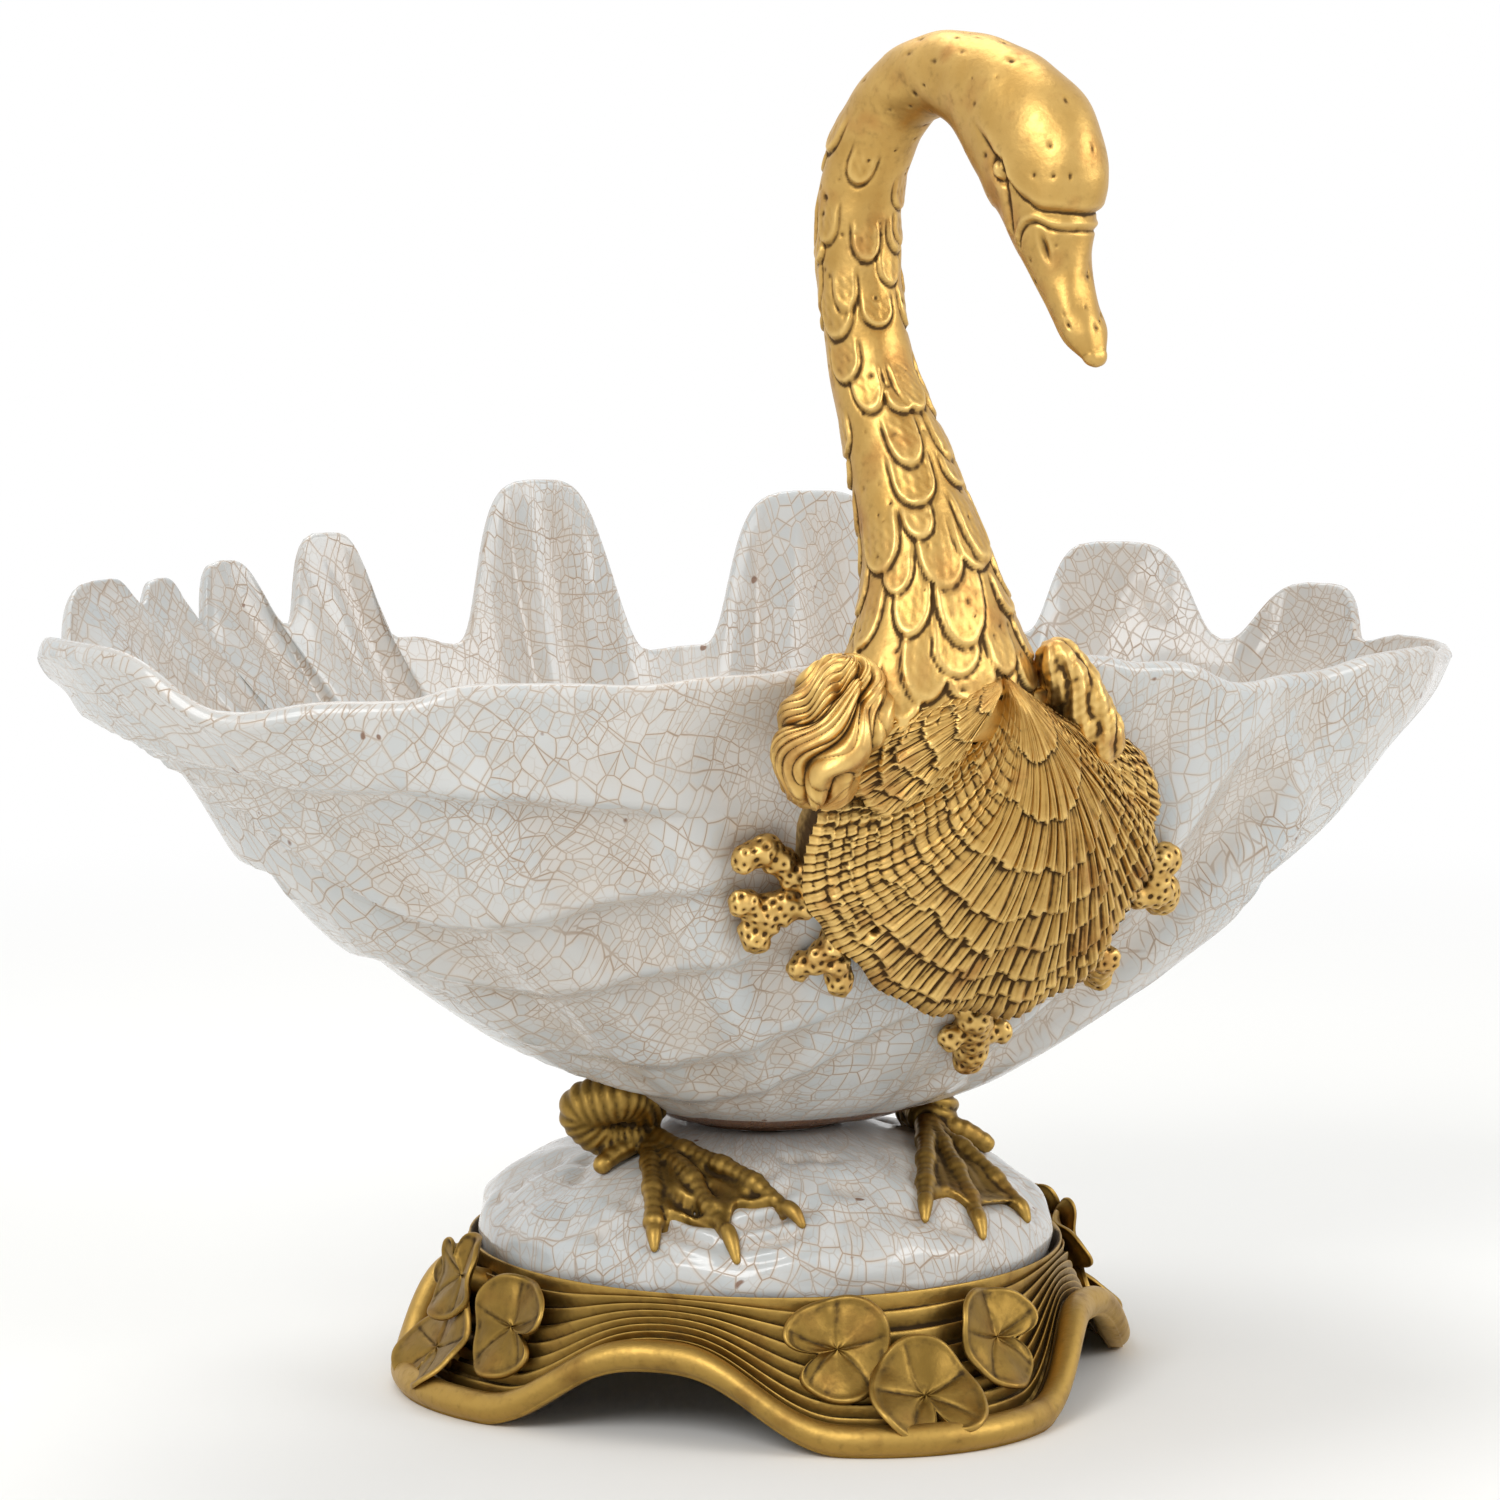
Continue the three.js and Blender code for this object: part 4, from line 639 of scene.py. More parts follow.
REEDS = 8
REED_DEPTH = 3.2
REED_LEAN = 0.35
BEAD_FROM = 150
BEAD_TO = -62
BEAD_ROWS = 22
PLINTH_COLUMNS = 560
SLOPE_ROWS = 110


def gilt_bronze(name, bright, mid, deep, rub, rough):
    """Cast bronze with fire gilding and a brown toning: the gold is warm and satiny, darker and duller in
    the hollows, where the dark brown is patina and painted shade, lighter on the crests, where rubbed
    gilding carries a painted highlight, with a slight cast grain."""
    material = blank_material(name)
    tree = material.node_tree
    spot = add(tree, "TexCoord").outputs["Object"]
    hollow = add(tree, "Attribute", {"attribute_name": "hollow"}).outputs["Fac"]
    crest = add(tree, "Attribute", {"attribute_name": "crest"}).outputs["Fac"]
    cloud = add(tree, "TexNoise", Vector=spot, Scale=70.0, Detail=5.0).outputs["Fac"]
    grain = add(tree, "TexNoise", Vector=spot, Scale=420.0, Detail=5.0).outputs["Fac"]
    broad = add(tree, "MapRange", Value=cloud, From_Min=0.35, From_Max=0.68).outputs[0]
    # The crest mask lifts the gold to the bright colour as a painted highlight along with the rubbed
    # gilding; the noise adds real tone.
    lift = add(tree, "Math", {"operation": "MULTIPLY_ADD"}, i0=broad, i1=0.35, i2=crest)
    lift = add(tree, "Math", {"operation": "MINIMUM"}, i0=lift.outputs[0], i1=1.0).outputs[0]
    gold = add(tree, "Mix", {"data_type": "RGBA"}, i0=lift, i6=linear(mid), i7=linear(bright))
    rubbed = add(tree, "TexNoise", Vector=spot, Scale=70.0, Detail=2.0).outputs["Fac"]
    rubbed = add(tree, "MapRange", Value=rubbed, From_Min=0.54, From_Max=0.7, To_Max=0.55).outputs[0]
    gold = add(tree, "Mix", {"data_type": "RGBA"}, i0=rubbed, i6=gold.outputs[2], i7=linear(rub))
    # The brown in the hollows: the hollow mask lays painted shade, while grain and noise give a real patina;
    # the same mask also dulls the metal.
    shade_and_patina = add(tree, "Math", {"operation": "MULTIPLY_ADD"}, i0=grain, i1=0.75, i2=hollow).outputs[0]
    shade_and_patina = add(tree, "Math", {"operation": "MULTIPLY_ADD"}, i0=cloud, i1=0.3, i2=shade_and_patina).outputs[0]
    shade_and_patina = add(tree, "MapRange", {"interpolation_type": "SMOOTHSTEP"}, Value=shade_and_patina,
               From_Min=0.5, From_Max=1.15, To_Max=0.95).outputs[0]
    shaded_and_patinated_gold = add(tree, "Mix", {"data_type": "RGBA"}, i0=shade_and_patina, i6=gold.outputs[2], i7=linear(deep))
    dull = add(tree, "Math", {"operation": "MULTIPLY_ADD"}, i0=shade_and_patina, i1=0.3, i2=rough).outputs[0]
    dull = add(tree, "Math", {"operation": "MULTIPLY_ADD"}, i0=grain, i1=0.1, i2=dull).outputs[0]
    skin = add(tree, "Bump", Strength=0.4, Distance=0.0004, Height=grain)
    metal = add(tree, "MapRange", Value=shade_and_patina, To_Min=1.0, To_Max=0.72)
    surface = add(tree, "BsdfPrincipled", Base_Color=shaded_and_patinated_gold.outputs[2], Metallic=metal.outputs[0],
                  Roughness=dull, Normal=skin.outputs[0])
    add(tree, "OutputMaterial", Surface=surface.outputs[0])
    return material


bright_bronze = gilt_bronze("fire_gilt_bronze", GILT_BRIGHT, GILT_MID, GILT_DEEP, GILT_RUB, 0.36)
dull_bronze = gilt_bronze("toned_gilt_bronze", DULL_BRIGHT, DULL_MID, DULL_DEEP, DULL_RUB, 0.4)


def lobe(turn):
    """1 at the middle of a lobe and 0 at the middle of an arch."""
    return ((1 + np.cos(4 * turn)) / 2) ** 0.8


def bead_base(turn):
    """The height of the rolled border's underside."""
    return ARCH_HEIGHT * (1 - smooth(lobe(turn) / 0.78)) - PLINTH_DROP


def bead_reach(turn):
    """The rolled border's outer reach."""
    lobe_reach = LOBE_REACH + (FRONT_LOBE_REACH - LOBE_REACH) * np.maximum(0, -np.sin(turn)) ** 2
    return ARCH_REACH + (lobe_reach - ARCH_REACH) * lobe(turn)


def lip_reach(turn):
    """The inner lip, just clear of the stand."""
    return np.hypot((ROCK_HALF_X + 0.9) * np.cos(turn), (ROCK_HALF_Y + 0.9) * np.sin(turn))


def plinth_top(turn, share, lift=0.0):
    """The sloping top of the ring: share 0 at the stand, 1 at the rolled border."""
    inner_reach = lip_reach(turn) + 1.5
    reach = inner_reach + (bead_reach(turn) - BEAD_WIDTH - inner_reach) * share
    low = bead_base(turn) + BEAD_HEIGHT * 0.7
    z = LIP_HEIGHT + (low - LIP_HEIGHT) * share - PLINTH_HOLLOW * np.sin(np.pi * share) * lobe(turn)
    return about_axis(reach, turn, z + lift)


turn, share = np.meshgrid(np.linspace(0, 2 * np.pi, PLINTH_COLUMNS, endpoint=False),
                          np.linspace(0, 1, SLOPE_ROWS), indexing="ij")
reed = 0.5 + 0.5 * np.cos(2 * np.pi * REEDS * share**0.9 + 0.3 * np.sin(8 * turn))
fade_in = smooth(share / 0.05) * smooth((1 - share) / 0.03)
sunk = REED_DEPTH * (reed - 1) * fade_in * (0.45 + 0.55 * np.sqrt(lobe(turn)))
slope = plinth_top(turn, share, sunk)
slope = slope + about_axis(1, turn, np.zeros_like(turn)) * (REED_LEAN * sunk)[..., None]
border = []
for bend in np.linspace(math.radians(BEAD_FROM), math.radians(BEAD_TO), BEAD_ROWS):
    reach = bead_reach(turn[:, 0]) - BEAD_WIDTH / 2 + BEAD_WIDTH / 2 * math.cos(bend)
    z = bead_base(turn[:, 0]) + BEAD_HEIGHT / 2 + BEAD_HEIGHT / 2 * math.sin(bend)
    border.append(about_axis(reach, turn[:, 0], z))
lip_line = lip_reach(turn[:, 0])
bead_line = bead_reach(turn[:, 0])
base_line = bead_base(turn[:, 0])
level_line = np.ones(PLINTH_COLUMNS)
under = (
    (bead_line - 0.25 * BEAD_WIDTH, base_line),
    (bead_line - 0.75 * BEAD_WIDTH, base_line),
    (lip_line * 0.75 + bead_line * 0.25, ROCK_SEAT * 0.6 + base_line * 0.4 - 2),
    (level_line * (LEDGE_REACH + 12), level_line * (ROCK_SEAT - LEDGE_THICKNESS - 0.3)),
    (level_line * LEDGE_REACH, level_line * (ROCK_SEAT - LEDGE_THICKNESS - 0.3)),
    (level_line * LEDGE_REACH, level_line * (ROCK_SEAT - 0.4)),
    (lip_line - 0.3, level_line * (ROCK_SEAT - 0.4)),
    (lip_line + 0.2, level_line * (LIP_HEIGHT - 0.6)),
)
under_rings = [about_axis(reach, turn[:, 0], z) for reach, z in under]
rings = np.concatenate([slope, np.stack(border, 1), np.stack(under_rings, 1)], axis=1)
points, faces = skin_of(rings, ring=True)
plinth = mesh_piece("plinth_ring", points, faces, dull_bronze, "antique_gilt_bronze", "plinth_mount")
painted_light_and_wear_masks(plinth, near=5, wide=36, strong=2.2)

# Lily pads
# The pads are small bronze castings, each a round leaf with a notch, raised veins and a rolled edge. They
# overlap in four clusters and are pinned by a short stem to the lobes of the ring.
# Degrees beside the lobe's middle, share of the slope, radius, stand and the notch's direction.
PAD_CLUSTER = ((-15, 0.32, 15, 3, 200), (-3, 0.72, 16.5, 5.5, 280), (14, 0.36, 15, 4, 340))
EXTRA_PAD = (-4, 0.16, 13.5, 7.5, 120)
PAD_LOBES = {"right": 0, "back": 90, "left": 180, "front": 270}
PAD_GROWTH = {"right": 1.12, "back": 0.92, "left": 1.12, "front": 1.12}
PAD_THICKNESS = 2.4
PAD_COLUMNS = 120
PAD_VEINS = 5
NOTCH_WIDTH = 0.22
PAD_STEM = 4.2
STEM_SIDES = 24


def plinth_point(turn, share):
    """One point of the ring's sloping top."""
    return plinth_top(np.array(float(turn)), np.array(float(share)))


def lily_pad(name, lobe_turn, offset, share, radius, stand, notch):
    """A leaf that lies over the ring's slope, its veins running out from beside the notch."""
    turn = math.radians(lobe_turn + offset)
    seat = plinth_point(turn, share)
    along = plinth_point(turn + 0.05, share) - plinth_point(turn - 0.05, share)
    slope = plinth_point(turn, share + 0.1) - plinth_point(turn, share - 0.1)
    normal = np.cross(slope, along)
    normal /= np.linalg.norm(normal)
    right = along / np.linalg.norm(along)
    down = np.cross(normal, right)
    centre = seat + normal * stand
    top = [(k, 1) for k in np.concatenate([np.linspace(0.0, 0.88, 22), np.linspace(0.91, 1, 6)])]
    under = [(k, -1) for k in np.concatenate([np.linspace(0.985, 0.93, 3), np.linspace(0.85, 0.0, 8)])]
    around = np.linspace(0, 2 * np.pi, PAD_COLUMNS, endpoint=False)
    reach_out, side = np.array(top + under).T
    spin, reach_out = np.meshgrid(around, reach_out, indexing="ij")
    side = np.broadcast_to(side, spin.shape)
    from_notch = np.angle(np.exp(1j * (spin - math.radians(notch))))
    sharp = np.exp(-((np.abs(from_notch) / NOTCH_WIDTH) ** 1.5))
    reach = radius * reach_out * (1 - 0.62 * sharp) * (0.95 + 0.05 * np.sin(3 * spin + notch))
    wave = 1.9 * reach_out**2 * np.sin(3 * spin + notch) + 0.4 * reach_out**2 * np.sin(7 * spin + 2 * notch)
    edge = np.exp(-((reach_out - 0.94) / 0.07) ** 2)
    bent = from_notch - math.pi + 0.35 * (1 - reach_out) * np.sin(2 * spin)
    vein = np.abs(np.angle(np.exp(1j * bent * PAD_VEINS))) / PAD_VEINS * radius * np.maximum(reach_out, 0.15)
    crease = np.exp(-((vein / 0.9) ** 2)) * (1 - reach_out**2)
    puff = (1 - np.exp(-((vein / 3.2) ** 2))) * np.sin(np.pi * np.clip(reach_out, 0, 1))
    cup = -2.0 * np.exp(-((reach_out / 0.6) ** 2))
    half = PAD_THICKNESS / 2 * np.sqrt(np.clip(1 - (np.clip(reach_out - 0.8, 0, 1) / 0.2) ** 2, 0, 1))
    lift = side * half * 0.8 + wave + cup + 0.8 * edge + np.where(side > 0, 0.3 * puff - 0.7 * crease, 0)
    points = (centre + right * (reach * np.cos(spin))[..., None] + down * (reach * np.sin(spin))[..., None]
              + normal * lift[..., None])
    stem_turns = np.linspace(0, 2 * np.pi, STEM_SIDES, endpoint=False)
    ring = right * np.cos(stem_turns)[:, None] + down * np.sin(stem_turns)[:, None]
    stem = np.stack([seat - normal * 2 + ring * PAD_STEM * 1.1, seat + normal * 0.6 + ring * PAD_STEM,
                     centre - normal * 1.4 + ring * PAD_STEM * 0.9], 1)
    points, faces = joined((skin_of(points), (stem.reshape(-1, 3), grid_faces(STEM_SIDES, 3, around=True))))
    made = mesh_piece(name + "_leaf", points, faces, dull_bronze, "antique_gilt_bronze", name)
    painted_light_and_wear_masks(made, near=3, wide=14, strong=1.3)


for side, lobe_turn in PAD_LOBES.items():
    cluster = PAD_CLUSTER + ((EXTRA_PAD,) if side in ("left", "right") else ())
    for number, (offset, share, radius, stand, notch) in enumerate(cluster, 1):
        radius *= PAD_GROWTH[side]
        lily_pad(f"lily_pad_{side}_{number}", lobe_turn, offset, share, radius, stand, notch)

# Webbed feet
# Each leg and foot is one bronze casting: a feathered thigh under the bowl, a ringed shank, three long
# toes and a hind toe with claws, and webs between them. A stud cast in the foot holds it to the stand.
# Side, ankle, degrees that the foot is turned, each toe's splay and length, and the hock's place from
# the ankle.
FEET = {
    "right": (-1, (-43.0, -8.0), 0, ((24, 52), (3, 65), (-14, 69)), (-20, 3)),
    "left": (1, (44.0, -22.0), -20, ((32, 46), (7, 61), (-9, 64)), (6, 16)),
}
TOE_RADIUS = 2.9
TOE_RING = 3.4
SHANK_RING = 2.2
THIGH_RISE = 16.0
HOCK_RISE = 8.0
CAST_GRAIN = 0.65
THIGH_SINK = 3.6
LEG_RADII = (4.8, 6.8, 7.4, 6.2, 5.2)
TOE_RADII = (3.9, 3.0, 2.7, 2.6, 2.4)
CLAW_RADII = (2.5, 2.3, 1.0)
HEEL_RADII = (3.6, 3.4, 1.7)
WEB_ROWS = 60
WEB_ACROSS = 34
WEB_THICKNESS = 2.9
rock_tree = BVHTree.FromPolygons(rock_points.tolist(), rock_faces.tolist())
wall_tree = BVHTree.FromPolygons(bowl_points.tolist(), bowl_faces.tolist())


def rock_height(x, y):
    """The height of the stand's top at a place."""
    hit = rock_tree.ray_cast(Vector((x, y, 200)), Vector((0, 0, -1)))[0]
    return hit.z if hit else ROCK_SEAT


def room_under_bowl(x, y):
    """How high a leg may reach at a place: a little way into the bowl's wall, never through it."""
    hit = wall_tree.ray_cast(Vector((x, y, ROCK_SEAT)), Vector((0, 0, 1)))[0]
    return hit.z + THIGH_SINK


def tube(path, radii, relief=None, sides=28, per=0.5):
    """A round limb along a smooth path; relief gives its extra radius from length and turn."""
    path, radii = np.asarray(path, float), np.asarray(radii, float)
    knots = np.concatenate([[0], np.cumsum(np.linalg.norm(np.diff(path, axis=0), axis=1))])
    steps = max(int(knots[-1] / per), 6)
    at = np.linspace(0, knots[-1], steps)
    centre, radius = flowing(at, knots, path), flowing(at, knots, radii)
    ends = np.clip(np.minimum(at, knots[-1] - at) / np.maximum(radius, 0.5), 0, 1)
    radius = radius * np.sqrt(1 - (1 - ends) ** 2 * 0.92)
    along = np.gradient(centre, axis=0)
    along /= np.linalg.norm(along, axis=1, keepdims=True)
    side = np.cross(along, (0, 0, 1))
    side /= np.maximum(np.linalg.norm(side, axis=1, keepdims=True), 1e-6)
    lift = np.cross(side, along)
    turn, length = np.meshgrid(np.linspace(0, 2 * np.pi, sides, endpoint=False), at, indexing="ij")
    grown = radius[None, :] + (relief(length, turn) if relief else 0)
    rings = (centre[None] + side[None] * (grown * np.cos(turn))[..., None]
             + lift[None] * (grown * np.sin(turn))[..., None])
    points = rings.reshape(-1, 3)
    caps = [np.arange(sides)[::-1] * steps, np.arange(sides) * steps + steps - 1]
    return points, grid_faces(sides, steps, around=True), caps


def cast_together(name, limbs, grain, material, slot, node, reliefs=None):
    """Limbs melted into one skin with faces of one size, as in one casting."""
    points, faces, first = [], [], 0
    for some, quads, caps in limbs:
        points.append(some)
        faces += (np.asarray(quads) + first).tolist() + [(np.asarray(cap) + first).tolist() for cap in caps]
        first += len(some)
    rough = bpy.data.meshes.new(name + "_limbs")
    rough.from_pydata(np.concatenate(points).tolist(), [], faces)
    holder = bpy.data.objects.new(name + "_limbs", rough)
    bpy.context.scene.collection.objects.link(holder)
    melt = holder.modifiers.new("melt", "REMESH")
    melt.mode = "VOXEL"
    melt.voxel_size = grain
    evaluated = holder.evaluated_get(bpy.context.evaluated_depsgraph_get())
    skin = bpy.data.meshes.new_from_object(evaluated)
    points = numbers_of(skin.vertices, "co", 3).astype(float)
    faces = numbers_of(skin.loops, "vertex_index", 1, np.int32).reshape(-1, 4)
    points = points * 0.5 + blurred_once(points, *neighbours(skin)) * 0.5
    if reliefs:
        corner = points[faces]
        flat = np.cross(corner[:, 2] - corner[:, 0], corner[:, 3] - corner[:, 1])
        normal = np.zeros_like(points)
        for k in range(4):
            np.add.at(normal, faces[:, k], flat)
        normal /= np.maximum(np.linalg.norm(normal, axis=1, keepdims=True), 1e-9)
        points = points + normal * reliefs(points)[:, None]
    bpy.data.objects.remove(holder)
    bpy.data.meshes.remove(rough)
    bpy.data.meshes.remove(skin)
    return mesh_piece(name + "_cast", points, faces, material, slot, node)


def webbed_foot(name, side, ankle, aim, toes, hock):
    """The leg, toes, claws and webs of one foot, laid on the stand's top."""
    x, y = ankle
    limbs = []

    def at(px, py, lift):
        return np.array((px, py, rock_height(px, py) + lift))

    def toe_point(toe, share, lift):
        splay, length = toe
        angle = math.radians(aim + side * splay)
        return at(x + math.sin(angle) * length * share, y - math.cos(angle) * length * share, lift)

    def toe_rings(length, turn):
        ring = np.abs(np.sin(np.pi * length / TOE_RING)) ** 0.6
        knuckle = sum(np.exp(-((length - spot) / 3.2) ** 2) for spot in (17, 34, 49))
        return (0.42 * ring - 0.3) * smooth((np.sin(turn) + 0.9) / 0.8) + 0.75 * knuckle

    for toe in toes:
        joints = [toe_point(toe, share, TOE_RADIUS * 0.75) for share in (0, 0.2, 0.4, 0.65, 0.93)]
        joints[0][2] += 2
        limbs.append(tube(joints, TOE_RADII, toe_rings))
        claw = [toe_point(toe, 0.88, 2.2), toe_point(toe, 0.95, 2.8), toe_point(toe, 1.02, 0.5)]
        limbs.append(tube(claw, CLAW_RADII))
    for first, second in zip(toes[:-1], toes[1:]):
        web = np.zeros((2, WEB_ROWS, WEB_ACROSS, 3))
        for r in range(WEB_ROWS):
            for n in range(WEB_ACROSS):
                u = n / (WEB_ACROSS - 1)
                edge = 0.05 + (0.86 - 0.13 * math.sin(math.pi * u)) * r / (WEB_ROWS - 1)
                flat = toe_point(first, edge, 0) * (1 - u) + toe_point(second, edge, 0) * u
                hang = 0.8 * math.sin(math.pi * u)
                crease = 0.22 * math.sin(u * 22 + 3 * r / WEB_ROWS) * math.sin(math.pi * u)
                rolled = 0.6 * math.exp(-((WEB_ROWS - 1 - r) / 2.2) ** 2)
                height = rock_height(flat[0], flat[1])
                web[0, r, n] = (flat[0], flat[1], height + WEB_THICKNESS - hang + crease + rolled)
                web[1, r, n] = (flat[0], flat[1], height - 1.2)
        points = np.concatenate([web[0], web[1][:, ::-1]], axis=1).reshape(-1, 3)
        width = 2 * WEB_ACROSS
        caps = [np.arange(width), np.arange(width)[::-1] + (WEB_ROWS - 1) * width]
        limbs.append((points, grid_faces(WEB_ROWS, width)[:, ::-1].tolist()
                      + [[r * width + width - 1, r * width, (r + 1) * width, (r + 1) * width + width - 1]
                         for r in range(WEB_ROWS - 1)], caps))

    def shank_rings(length, turn):
        ring = np.abs(np.sin(np.pi * length / SHANK_RING)) ** 0.7
        feathers = smooth((16 - length) / 8)
        strands = np.abs(np.sin(5 * turn + 0.5 * length)) ** 0.8
        return (1.1 * ring - 0.6) * (1 - feathers) + feathers * (1.9 * strands - 0.7)

    leg = [(x - hock[0] * 0.2, y + 3, ROCK_TOP + THIGH_RISE),
           (x + hock[0] * 0.6, y - 6 + hock[1] * 0.6, ROCK_TOP + THIGH_RISE - 2),
           (x + hock[0], y + hock[1], ROCK_TOP + HOCK_RISE),
           (x + hock[0] * 0.8, y + hock[1] * 0.8, ROCK_TOP + 1.5),
           (x, y, rock_height(x, y) + 4)]
    leg = [(px, py, min(pz, room_under_bowl(px, py) - radius))
           for (px, py, pz), radius in zip(leg, LEG_RADII)]
    limbs.append(tube(leg, LEG_RADII, shank_rings, sides=48, per=0.4))
    heel = [at(x + side * 4, y, 4), at(x + side * 12, y - 3, 4), at(x + side * 20, y - 6, 2.6)]
    limbs.append(tube(heel, HEEL_RADII, toe_rings))
    made = cast_together(name, limbs, CAST_GRAIN, dull_bronze, "antique_gilt_bronze", name)
    painted_light_and_wear_masks(made, near=2, wide=8, strong=2.4)


for side, foot in FEET.items():
    webbed_foot(f"{side}_webbed_foot", *foot)

# Swan neck and head
# The neck, head, beak and the plate behind the shells are one gilt bronze casting that hooks over the
# bowl's rim. Feather flaps like scales lie thick at its root and thin out up the neck; the head is bare.
NECK_BASE = np.array((-7.0, -126.0, 0.0))
NECK_TURN = math.radians(16)
heading = np.array((math.sin(NECK_TURN), -math.cos(NECK_TURN), 0.0))
sideways = np.array((math.cos(NECK_TURN), math.sin(NECK_TURN), 0.0))
# Forward of the base, height, half thickness fore and aft, half width.
NECK_LINE = np.array((
    (-3, 206, 21, 33), (-4, 220, 21, 31), (-5, 231, 19, 26), (-7, 241, 18, 22), (-10.3, 252.5, 17, 18.8),
    (-14.4, 262, 16, 16.7), (-20, 276, 14.9, 14.9), (-25, 287, 13.8, 13.8), (-30, 299, 12.8, 12.8),
    (-34, 315, 12.3, 12.3), (-36, 332, 12.4, 12.4), (-35.5, 349, 12.4, 12.4), (-29, 366, 12.2, 12.2),
    (-17, 378.5, 12, 12), (-3, 382.6, 12.3, 12.3), (11, 379.4, 14.7, 13.2), (23, 372, 18, 14.8),
    (32.5, 361.5, 20.3, 15.2), (37, 351, 18.8, 14), (38.8, 342, 14, 12.4), (41, 334, 10.6, 10),
    (44, 326, 8, 8.6), (47.8, 318.5, 6.6, 8), (52, 311.5, 5.6, 7), (54.8, 307, 3.6, 4.6)), float)
NECK_COLUMNS = 200
NECK_ROWS = 478
TIP_ROUNDING = 3.4
FEATHER_TOP = 172.0
ROOT_DROP = 8.0
WALL_FRONT = -121.0
# Length along the neck in millimetres and the turn in degrees, 90 at the throat and 270 on the crown.
BROW = ((173, 243), (180, 251), (196, 257), (228, 260.4), (276, 262.2), (300, 262.4))
BROW_SIDE = 173.0
BROW_START = 226.0
EYE = (245.4, 171.0)
CHEEK = ((247, 173), (252, 171), (257.5, 165), (262, 156))
COLLAR = ((158, 265), (170, 262.5), (193.5, 260.4), (219, 263.4), (280, 265.0), (300, 265.0))
NOSTRIL = (269.5, 202.5)
NOSTRIL_LENGTH = 3.0
BEAK_SEAM = 150
CAST_PITS = 260
# The ground between the feathers lies this far under the line of the neck.
FEATHER_SINK = 0.6

neck_keys = np.concatenate([[0], np.cumsum(np.hypot(*np.diff(NECK_LINE[:, :2], axis=0).T))])
chance = random.Random(5)


def row_places(rows):
    """Lengths along the neck, wider apart on its bare part and closer together on the face."""
    at = np.linspace(0, neck_keys[-1], 1200)
    bare = 0.4 * smooth((at - 160) / 15) * smooth((224 - at) / 15)
    face = 0.5 * smooth((at - 222) / 10) * smooth((280 - at) / 15)
    dense = 1.0 - bare + face
    total = np.concatenate([[0], np.cumsum((dense[1:] + dense[:-1]) / 2)])
    return np.interp(np.linspace(0, total[-1], rows), total, at)


at = row_places(NECK_ROWS)
line = flowing(at, neck_keys, NECK_LINE)
centre = NECK_BASE + heading * line[:, :1] + np.array((0, 0, 1.0)) * line[:, 1:2]
along = np.gradient(centre, at, axis=0)
along /= np.linalg.norm(along, axis=1, keepdims=True)
fore = np.cross(sideways, along)
fore /= np.linalg.norm(fore, axis=1, keepdims=True)
turn, length = np.meshgrid(np.linspace(0, 2 * np.pi, NECK_COLUMNS, endpoint=False), at, indexing="ij")
wide, thick = line[None, :, 3], line[None, :, 2]
rings = (centre[None] + sideways * (np.cos(turn) * wide)[..., None]
         + fore[None] * (np.sin(turn) * thick)[..., None])
normals = sideways * (np.cos(turn) / wide)[..., None] + fore[None] * (np.sin(turn) / thick)[..., None]
normals /= np.linalg.norm(normals, axis=-1, keepdims=True)
round_reach = np.broadcast_to((wide + thick) / 2, turn.shape)
relief = np.zeros_like(turn)
level = 10.0
feathers = []
while level < FEATHER_TOP:
    spread = level / FEATHER_TOP
    width = 14.0 - 4.8 * spread
    girth = 2 * math.pi * float(np.interp(level, at, (line[:, 2] + line[:, 3]) / 2))
    count = max(int(girth / (width * (0.98 + 0.3 * spread))), 3)
    shift = chance.random()
    for k in range(count):
        if chance.random() < 0.06 + 0.3 * spread:
            continue
        feathers.append((level + chance.uniform(-4.2, 4.2),
                         (k + shift + chance.uniform(-0.26, 0.26)) / count * 2 * math.pi,
                         width * chance.uniform(0.7, 1.2), chance.uniform(1.05, 1.8),
                         chance.uniform(0.7, 1.15) * (1 - 0.5 * spread)))
    level += width * (0.76 + 0.26 * spread)
for spot, facing, width, slim, stand in sorted(feathers):
    across = np.angle(np.exp(1j * (turn - facing))) * round_reach
    below = spot - length
    tall = width * slim / 2
    rim_share = np.hypot(across / (width / 2), np.maximum(below, 0) / tall)
    upper = smooth((below + tall) / (tall * 0.75))
    gap = (1 - rim_share) * width / 2
    flap = smooth((gap + 0.25) / 0.7) * upper
    edge = 0.45 * stand * np.exp(-((gap - 0.9) / 0.7) ** 2)
    body = stand * (0.3 + 0.7 * smooth((below + tall) / (2 * tall))) + edge
    quill = 0.1 * np.sin(across * 2.3 + 0.8 * below + spot) * np.sin(0.9 * below + spot) * smooth(gap / 2)
    under = -0.36 * np.exp(-((gap + 0.6) / 0.5) ** 2) * upper
    relief = relief * (1 - flap) + (body + quill) * flap + under * (1 - flap)
fold_turn = np.degrees(turn)
mirrored = np.where((fold_turn > 90) & (fold_turn <= 270), fold_turn, (180 - fold_turn) % 360)
brow_turns, brow_lengths = zip(*BROW)
from_side = np.radians(mirrored - BROW_SIDE) * round_reach
before_brow = flowing(mirrored, brow_turns, brow_lengths) - length
crown = -np.log(np.exp(-from_side * 1.2) + np.exp(-before_brow * 1.2)) / 1.2
started = smooth((length - BROW_START) / 14)
relief += started * (0.8 * smooth(crown / 2.6) - 1.1 * np.exp(-((crown + 0.1) / 0.75) ** 2)
                     - 0.7 * smooth(-crown / 1.5)
                     * smooth((268 - length) / 8))
eye_along = length - EYE[0]
eye_across = np.radians(mirrored - EYE[1]) * round_reach
almond = np.hypot(eye_along / 3.6, eye_across / 2.3)
